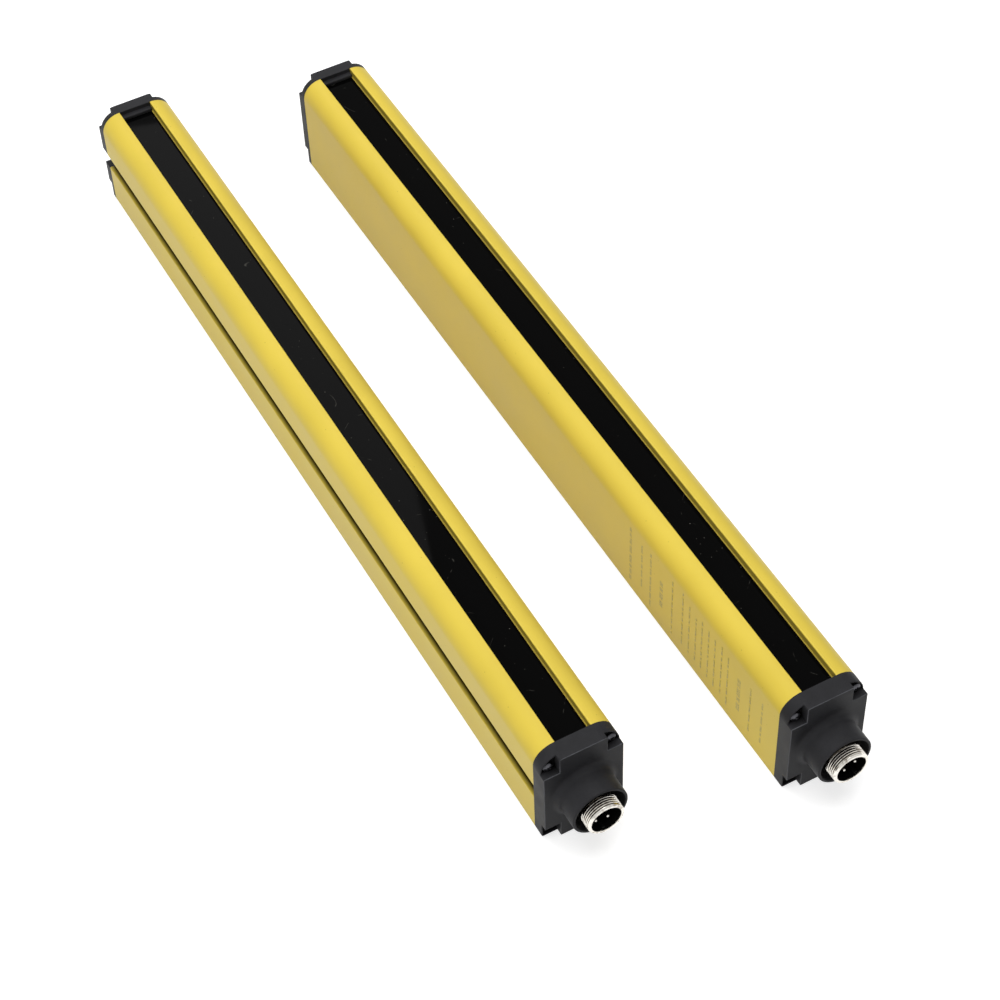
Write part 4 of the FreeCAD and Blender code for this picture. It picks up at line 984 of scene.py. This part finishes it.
class CURTAIN_OT_connectors(bpy.types.Operator):
    """Builds the threaded shells with their keys, the inserts and the pins"""

    bl_idname = "curtain.connectors"
    bl_label = "Connectors"

    def execute(self, context):
        sizes = context.scene.curtain_connector
        colours = context.scene.curtain_colours
        plating = plated_metal(
            "nickel_plated_brass", colours.plating, roughness=0.14, tarnish=linear("#6E5E4A")
        )
        insulator = moulded_plastic(
            "moulded_connector_polyester", linear("#080808"), grain_mm=0.4, roughness=0.4, relief_mm=0.01,
            gleam=0.08,
        )
        contact = plated_metal(
            "silver_plated_brass", linear("#E2DFD8"), roughness=0.12, tarnish=linear("#A89F92")
        )
        for bar in BARS:
            axis_z = size_of(bar, "housing")[1].z / 2
            rim = size_of(bar, "connector_shell")[0].y
            web, face = rim + sizes.shell_depth * MM, rim + sizes.socket_depth * MM
            seat = web + sizes.insert_seat * MM
            socket, bore = sizes.socket_radius * MM, sizes.tail_bore * MM
            turn = Matrix.Translation((0, 0, axis_z)) @ Matrix.Rotation(KEY_TURN[bar], 4, "Y")

            shell = self.shell_shape(sizes, rim, web, face, seat, axis_z, GROOVE_SIDE[bar])
            half_key, key_top = sizes.key_width * MM / 2, sizes.key_height * MM - socket
            key = bmesh.new()
            block_between(
                key, (-half_key, rim + sizes.key_setback * MM, -socket - KEY_SINK),
                (half_key, face + INSERT_GAP, key_top), KEY_EDGE,
            )
            add_shape(shell, key, turn)
            piece = show_piece(
                f"{bar}_threaded_shell", shell, bar, plating, "nickel", f"{bar}_connector_shell"
            )
            self.line_socket(piece, insulator, bar, rim + BRIGHT_BORE, face, axis_z)

            insert = bmesh.new()
            fit, stop, tail_fit = socket - INSERT_GAP / 2, seat - INSERT_GAP, bore - INSERT_GAP
            insert_end, bead_top = web + sizes.insert_end * MM, face + BEAD_DEPTH
            bead = [fit - inwards for inwards in BEAD_STEPS]
            outline = [
                (0, face, 0), (bead[0], face, FINE_EDGE), (bead[1], bead_top, FINE_EDGE),
                (bead[2], bead_top, FINE_EDGE), (bead[3], face, FINE_EDGE), (fit, face, KEY_EDGE),
                (fit, stop, 0), (tail_fit, stop, 0), (tail_fit, insert_end, 0), (0, insert_end, 0),
            ]
            turned_ring(insert, outline, axis_z, sizes.steps)
            show_piece(f"{bar}_pin_insert", insert, bar, insulator, "insert_black", f"{bar}_connector_insert")

            pins = bmesh.new()
            radius, circle = sizes.pin_radius * MM, sizes.pin_circle * MM
            tip, pin_end = rim + sizes.pin_setback * MM, web + sizes.pin_end * MM
            nose = radius * PIN_NOSE
            outline = [(0, tip, 0), (radius, tip, nose), (radius, pin_end, PIN_HEEL), (0, pin_end, 0)]
            for angle in (45, 135, 225, 315):
                pin, across = bmesh.new(), math.radians(angle)
                turned_ring(pin, outline, circle * math.sin(across), PIN_STEPS, circle * math.cos(across))
                add_shape(pins, pin, turn)
            show_piece(f"{bar}_contact_pins", pins, bar, contact, "pin_silver", f"{bar}_connector_pins")
        return {"FINISHED"}

    def shell_shape(self, sizes, rim, web, face, seat, axis_z, hand):
        """The shell, turned in one piece with its flange and tail, and its thread."""
        outside, socket = sizes.thread_radius * MM, sizes.socket_radius * MM
        root = outside - sizes.thread_depth * MM
        start, end = rim + sizes.plain_rim * MM, rim + sizes.thread_end * MM
        flange, tail, bore = sizes.flange_radius * MM, sizes.tail_radius * MM, sizes.tail_bore * MM
        flange_face, tail_end = web - sizes.flange_thickness * MM, web + sizes.tail_length * MM
        shell = bmesh.new()
        outline = [
            (socket, rim, BORE_EDGE), (outside - RIM_CHAMFER, rim, 0),
            (outside, rim + RIM_CHAMFER, CREST_ROUND), (outside, start, CREST_ROUND),
            (root, start + RUN_OUT, 0), (root, end - RUN_OUT, 0), (outside, end, 0),
            (outside, flange_face, 0), (flange, flange_face, TURNED_EDGE), (flange, web, 0), (tail, web, 0),
            (tail, tail_end, TURNED_EDGE), (bore, tail_end, 0), (bore, seat, 0), (socket, seat, 0),
            (socket, face, 0), (socket, rim + BRIGHT_BORE, 0),
        ]
        turned_ring(shell, outline, axis_z, sizes.steps)
        self.add_thread(shell, sizes, start - RIDGE_LEAD, end - RIDGE_STOP, axis_z, hand)
        self.mark_roots(shell, root, outside, start + CREST_ROUND, end, axis_z)
        return shell

    def add_thread(self, shell, sizes, start, end, axis_z, hand):
        """Adds the helical ridge, whose ends run out in the plain bands of the shell.

        The emitter's shapes are mirrored into place, so hand turns its ridge the other way and both
        threads come out right-handed.
        """
        pitch, crest = sizes.thread_pitch * MM, sizes.thread_radius * MM - RIDGE_DROP
        root = crest - sizes.thread_depth * MM - RIDGE_SINK
        turns = (end - start) / pitch
        steps = round(turns * sizes.steps)
        foot, flat = RIDGE_FOOT * pitch, RIDGE_FLAT * pitch
        ridge = bmesh.new()
        corners = [(root, start - foot, 0), (crest, start - flat, CREST_ROUND),
                   (crest, start + flat, CREST_ROUND), (root, start + foot, 0)]
        rounded_wire(ridge, corners)
        bmesh.ops.transform(ridge, matrix=standing(0, axis_z), verts=ridge.verts)
        bmesh.ops.spin(
            ridge, geom=ridge.verts[:] + ridge.edges[:], cent=(0, 0, axis_z), axis=(0, 1, 0),
            dvec=(0, (end - start) / steps, 0), angle=hand * turns * math.tau, steps=steps, use_merge=False,
            use_duplicate=False,
        )
        bmesh.ops.holes_fill(ridge, edges=[edge for edge in ridge.edges if edge.is_boundary])
        add_shape(shell, ridge)

    def mark_roots(self, shell, root, crest, start, end, axis_z):
        """Gives every point how deep it lies in the thread, for the painted shade in its roots."""
        # Painted shade: the deeper a point lies in the thread, the darker its colour is painted.
        depth = shell.verts.layers.float.new("root_depth")
        for vert in shell.verts:
            radius = math.hypot(vert.co.x, vert.co.z - axis_z)
            if start < vert.co.y < end and root - ROOT_BAND < radius < crest:
                vert[depth] = min(1.0, (crest - radius) / (crest - root))

    def line_socket(self, piece, lining, bar, low_y, high_y, axis_z):
        """Gives the bore in front of the insert, and the key in it, the insert's own black."""
        piece.data.materials.append(lining)
        start = bar_place(bar)
        socket = bpy.context.scene.curtain_connector.socket_radius * MM
        for face in piece.data.polygons:
            x, y, z = (face.center - start) * MM
            if low_y < y < high_y and math.hypot(x, z - axis_z) < socket + MERGE_MM:
                face.material_index = 1


# Rows of the printed field: place along the bar, lowest and highest reach up the side, and height
# of the row, in millimetres. They stand for the print with plain bars.
PRINT_ROWS = [
    (111.5, 6.0, 41.0, 1.7), (102.5, 10.5, 37.5, 1.1), (95.5, 5.0, 39.0, 1.2), (87.0, 14.0, 30.0, 2.4),
    (78.5, 5.0, 40.0, 1.0), (70.5, 7.5, 40.5, 1.0), (65.3, 7.0, 37.5, 1.0), (60.3, 8.0, 37.0, 1.0),
    (55.7, 8.0, 39.0, 1.0), (50.8, 7.5, 38.0, 1.0), (46.0, 7.0, 37.5, 1.0), (41.0, 8.0, 39.0, 1.0),
    (36.2, 6.0, 37.0, 1.0), (28.0, 12.0, 33.0, 2.4), (19.7, 8.0, 36.0, 1.0), (11.3, 10.0, 36.0, 1.1),
]


class CURTAIN_OT_printed_field(bpy.types.Operator):
    """Lays the rows of plain printed bars on the receiver's side"""

    bl_idname = "curtain.printed_field"
    bl_label = "Printed field"

    def execute(self, context):
        finish = screen_printed_ink(context.scene.curtain_colours.ink)
        chance = random.Random(PRINT_SEED)
        low, _ = size_of("receiver", "housing")
        bm = bmesh.new()
        for y, low_z, high_z, row_height in PRINT_ROWS:
            z, low_y, high_y = low_z, y - row_height / 2, y + row_height / 2
            while z < high_z - LEAST_BAR:
                end = z + min(chance.uniform(*BAR_LENGTHS), high_z - z)
                block_between(bm, (low.x - INK_HEIGHT, low_y, z), (low.x + INK_HEIGHT, high_y, end))
                z = end + chance.uniform(*GAP_LENGTHS)
        show_piece("receiver_printed_bars", bm, "receiver", finish, "profile_yellow")
        return {"FINISHED"}


# Inner pieces that are moulded: finish, colour, grain in millimetres, roughness, relief in
# millimetres, and the nodes that have it
MOULDED = (
    ("moulded_nitrile_rubber", "#1A1A1A", 0.6, 0.75, 0.02, "window_seals", "connector_cap_gasket",
     "far_cap_gasket", "connector_seal"),
    ("open_cell_foam", "#3A3B3D", 1.0, 0.95, 0.2, "optics_pad"),
    ("extruded_wire_insulation", "#9A9B9D", 1.5, 0.45, 0.01, "lead_wires"),
    ("moulded_white_nylon", "#E9E6DC", 0.5, 0.45, 0.01, "wire_header"),
    ("moulded_black_polycarbonate", "#17181A", 0.5, 0.6, 0.02, "optics_carrier"),
    ("moulded_epoxy_package", "#1B1B1D", 0.3, 0.55, 0.01, "processor", "driver_chips", "photodiodes"),
)
# Inner pieces that are clear: finish, tint, roughness, and the nodes that have it
CLEAR = (
    ("moulded_red_acrylic", "#8E1414", 0.05, "lens_strip"),
    ("moulded_clear_acrylic", "#F2F4F2", 0.04, "light_guide"),
    ("cast_clear_epoxy", "#DDE3E6", 0.08, "beam_leds", "status_lamps"),
)


class CURTAIN_OT_inner_pieces(bpy.types.Operator):
    """Gives the pieces inside the bars their finishes"""

    bl_idname = "curtain.inner_pieces"
    bl_label = "Inner pieces"

    def execute(self, context):
        finishes = {
            "circuit_board": glass_fibre_laminate(),
            "connector_nut": bpy.data.materials["nickel_plated_brass"],
            "capacitors": plated_metal(
                "drawn_aluminium_can", linear("#B9BBBE"), roughness=0.3, tarnish=linear("#8F9194")
            ),
        }
        for name, tint, grain_mm, roughness, relief_mm, *nodes in MOULDED:
            moulded = moulded_plastic(name, linear(tint), grain_mm, roughness, relief_mm)
            finishes |= dict.fromkeys(nodes, moulded)
        for name, tint, roughness, *nodes in CLEAR:
            finishes |= dict.fromkeys(nodes, clear_moulding(name, linear(tint), roughness))
        for name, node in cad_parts.items():
            finish = finishes.get(name.partition("_")[2])
            if finish is None:
                continue
            for slot in node.material_slots:
                slot.material = finish
        return {"FINISHED"}


# Lamps: name, place and size in metres, turn in degrees, and whether gloss shows them
LAMPS = (
    ("back_lamp", (-0.051, 1.4496, 1.5), (1.2, 1.133), (0, 0, -18), True),
    ("top_lamp", (0.0, 0.0, 1.6), (1.4, 1.4), (0, 0, 0), False),
    ("side_lamp", (-1.3, -0.6, 0.9), (1.2, 0.9), (55, 0, -65), False),
)
# Light that the floor adds where it shows as background, so that it fades to white
FLOOR_LIFT = 0.65
CAMERA_PLACE = (-0.312616, -0.662219, 0.823047)
CAMERA_TURN = (40.59074, 1.71048, -28.73702)


class CURTAIN_OT_stage(bpy.types.Operator):
    """Sets up the floor, the lamps, the room and the camera"""

    bl_idname = "curtain.stage"
    bl_label = "Stage"

    def execute(self, context):
        stage = context.scene.curtain_stage
        self.lay_floor()
        self.light_room(context.scene, stage.room)
        for name, place, spread, turn, in_reflections in LAMPS:
            self.hang_lamp(name, place, spread, turn, getattr(stage, name), in_reflections)
        lens = bpy.data.cameras.new("camera")
        lens.sensor_width = 36.0
        lens.lens = stage.lens
        lens.clip_start = 0.02
        camera = in_scene("camera", lens)
        camera.location = CAMERA_PLACE
        camera.rotation_euler = [math.radians(angle) for angle in CAMERA_TURN]
        context.scene.camera = camera
        context.scene.view_settings.view_transform = "Standard"
        return {"FINISHED"}

    def shown_background(self, tree):
        """Node that gives 1 for rays from the camera, off gloss and through clear pieces, and else 0."""
        rays = add_node(tree, "LightPath").outputs
        seen = add_node(tree, "Math", {0: rays["Is Camera Ray"], 1: rays["Is Glossy Ray"]}, operation="ADD")
        return add_node(
            tree, "Math", {0: seen, 1: rays["Is Transmission Ray"]}, operation="ADD", use_clamp=True
        )

    def lay_floor(self):
        """Pale matt floor that keeps the shadows and fades to white."""
        finish, tree, place = new_finish("matt_paper_floor")
        grain = add_node(tree, "TexNoise", {"Vector": place, "Scale": per_metre(3)})
        paper = add_node(
            tree, "Mix", {"Factor": grain, "A": linear("#CECECE"), "B": linear("#D2D2D2")}, data_type="RGBA"
        )
        matt = add_node(tree, "BsdfDiffuse", {"Color": paper})
        lift = add_node(tree, "Math", {0: self.shown_background(tree), 1: FLOOR_LIFT}, operation="MULTIPLY")
        white = add_node(tree, "Emission", {"Strength": lift})
        both = add_node(tree, "AddShader", {0: matt, 1: white})
        add_node(tree, "OutputMaterial", {"Surface": both})
        bm = bmesh.new()
        bmesh.ops.create_grid(
            bm, x_segments=1, y_segments=1, size=6.0, matrix=Matrix.Translation((0, 0, -FLOOR_GAP_MM / MM))
        )
        mesh = bpy.data.meshes.new("floor")
        bm.to_mesh(mesh)
        bm.free()
        mesh.materials.append(finish)
        in_scene("floor", mesh)

    def light_room(self, scene, level):
        """White behind everything, and a plain soft light from all round."""
        world = bpy.data.worlds.new("room")
        world.use_nodes = True
        tree = world.node_tree
        tree.nodes.clear()
        strength = add_node(
            tree, "Math", {0: self.shown_background(tree), 1: 1.0 - level, 2: level},
            operation="MULTIPLY_ADD",
        )
        light = add_node(tree, "Background", {"Strength": strength})
        add_node(tree, "OutputWorld", {"Surface": light})
        scene.world = world

    def hang_lamp(self, name, place, spread, turn, watts, in_reflections):
        """One soft rectangular lamp."""
        lamp = bpy.data.lights.new(name, "AREA")
        lamp.shape = "RECTANGLE"
        lamp.size, lamp.size_y = spread
        lamp.energy = watts
        hung = in_scene(name, lamp)
        hung.location = place
        hung.rotation_euler = [math.radians(angle) for angle in turn]
        hung.visible_camera = False
        hung.visible_glossy = in_reflections


class CURTAIN_PT_panel(bpy.types.Panel):
    """Lists the steps that build the light curtain"""

    bl_idname = "CURTAIN_PT_panel"
    bl_label = "Light Curtain"
    bl_space_type = "VIEW_3D"
    bl_region_type = "UI"
    bl_category = "Light Curtain"

    def draw(self, context):
        for step in STEPS:
            self.layout.operator(step.bl_idname)
        for group in SETTINGS:
            self.layout.label(text=group.__doc__)
            for name in group.__annotations__:
                self.layout.prop(getattr(context.scene, SETTINGS[group]), name)


STEPS = (
    CURTAIN_OT_stage, CURTAIN_OT_housings, CURTAIN_OT_windows, CURTAIN_OT_connector_caps, CURTAIN_OT_far_caps,
    CURTAIN_OT_cap_screws, CURTAIN_OT_connectors, CURTAIN_OT_printed_field, CURTAIN_OT_inner_pieces,
)
SETTINGS = {
    ProfileSizes: "curtain_profile",
    CapSizes: "curtain_caps",
    ScrewSizes: "curtain_screws",
    ConnectorSizes: "curtain_connector",
    CurtainColours: "curtain_colours",
    StageSizes: "curtain_stage",
}


def register():
    """Registers the settings, the steps and the panel."""
    for group, place in SETTINGS.items():
        bpy.utils.register_class(group)
        setattr(bpy.types.Scene, place, PointerProperty(type=group))
    for step in STEPS:
        bpy.utils.register_class(step)
    bpy.utils.register_class(CURTAIN_PT_panel)


def unregister():
    """Takes them out again."""
    bpy.utils.unregister_class(CURTAIN_PT_panel)
    for step in reversed(STEPS):
        bpy.utils.unregister_class(step)
    for group, place in SETTINGS.items():
        delattr(bpy.types.Scene, place)
        bpy.utils.unregister_class(group)


def main():
    """Builds everything in order."""
    register()
    for step in STEPS:
        area, name = step.bl_idname.split(".")
        getattr(getattr(bpy.ops, area), name)()


if __name__ == "__main__":
    main()
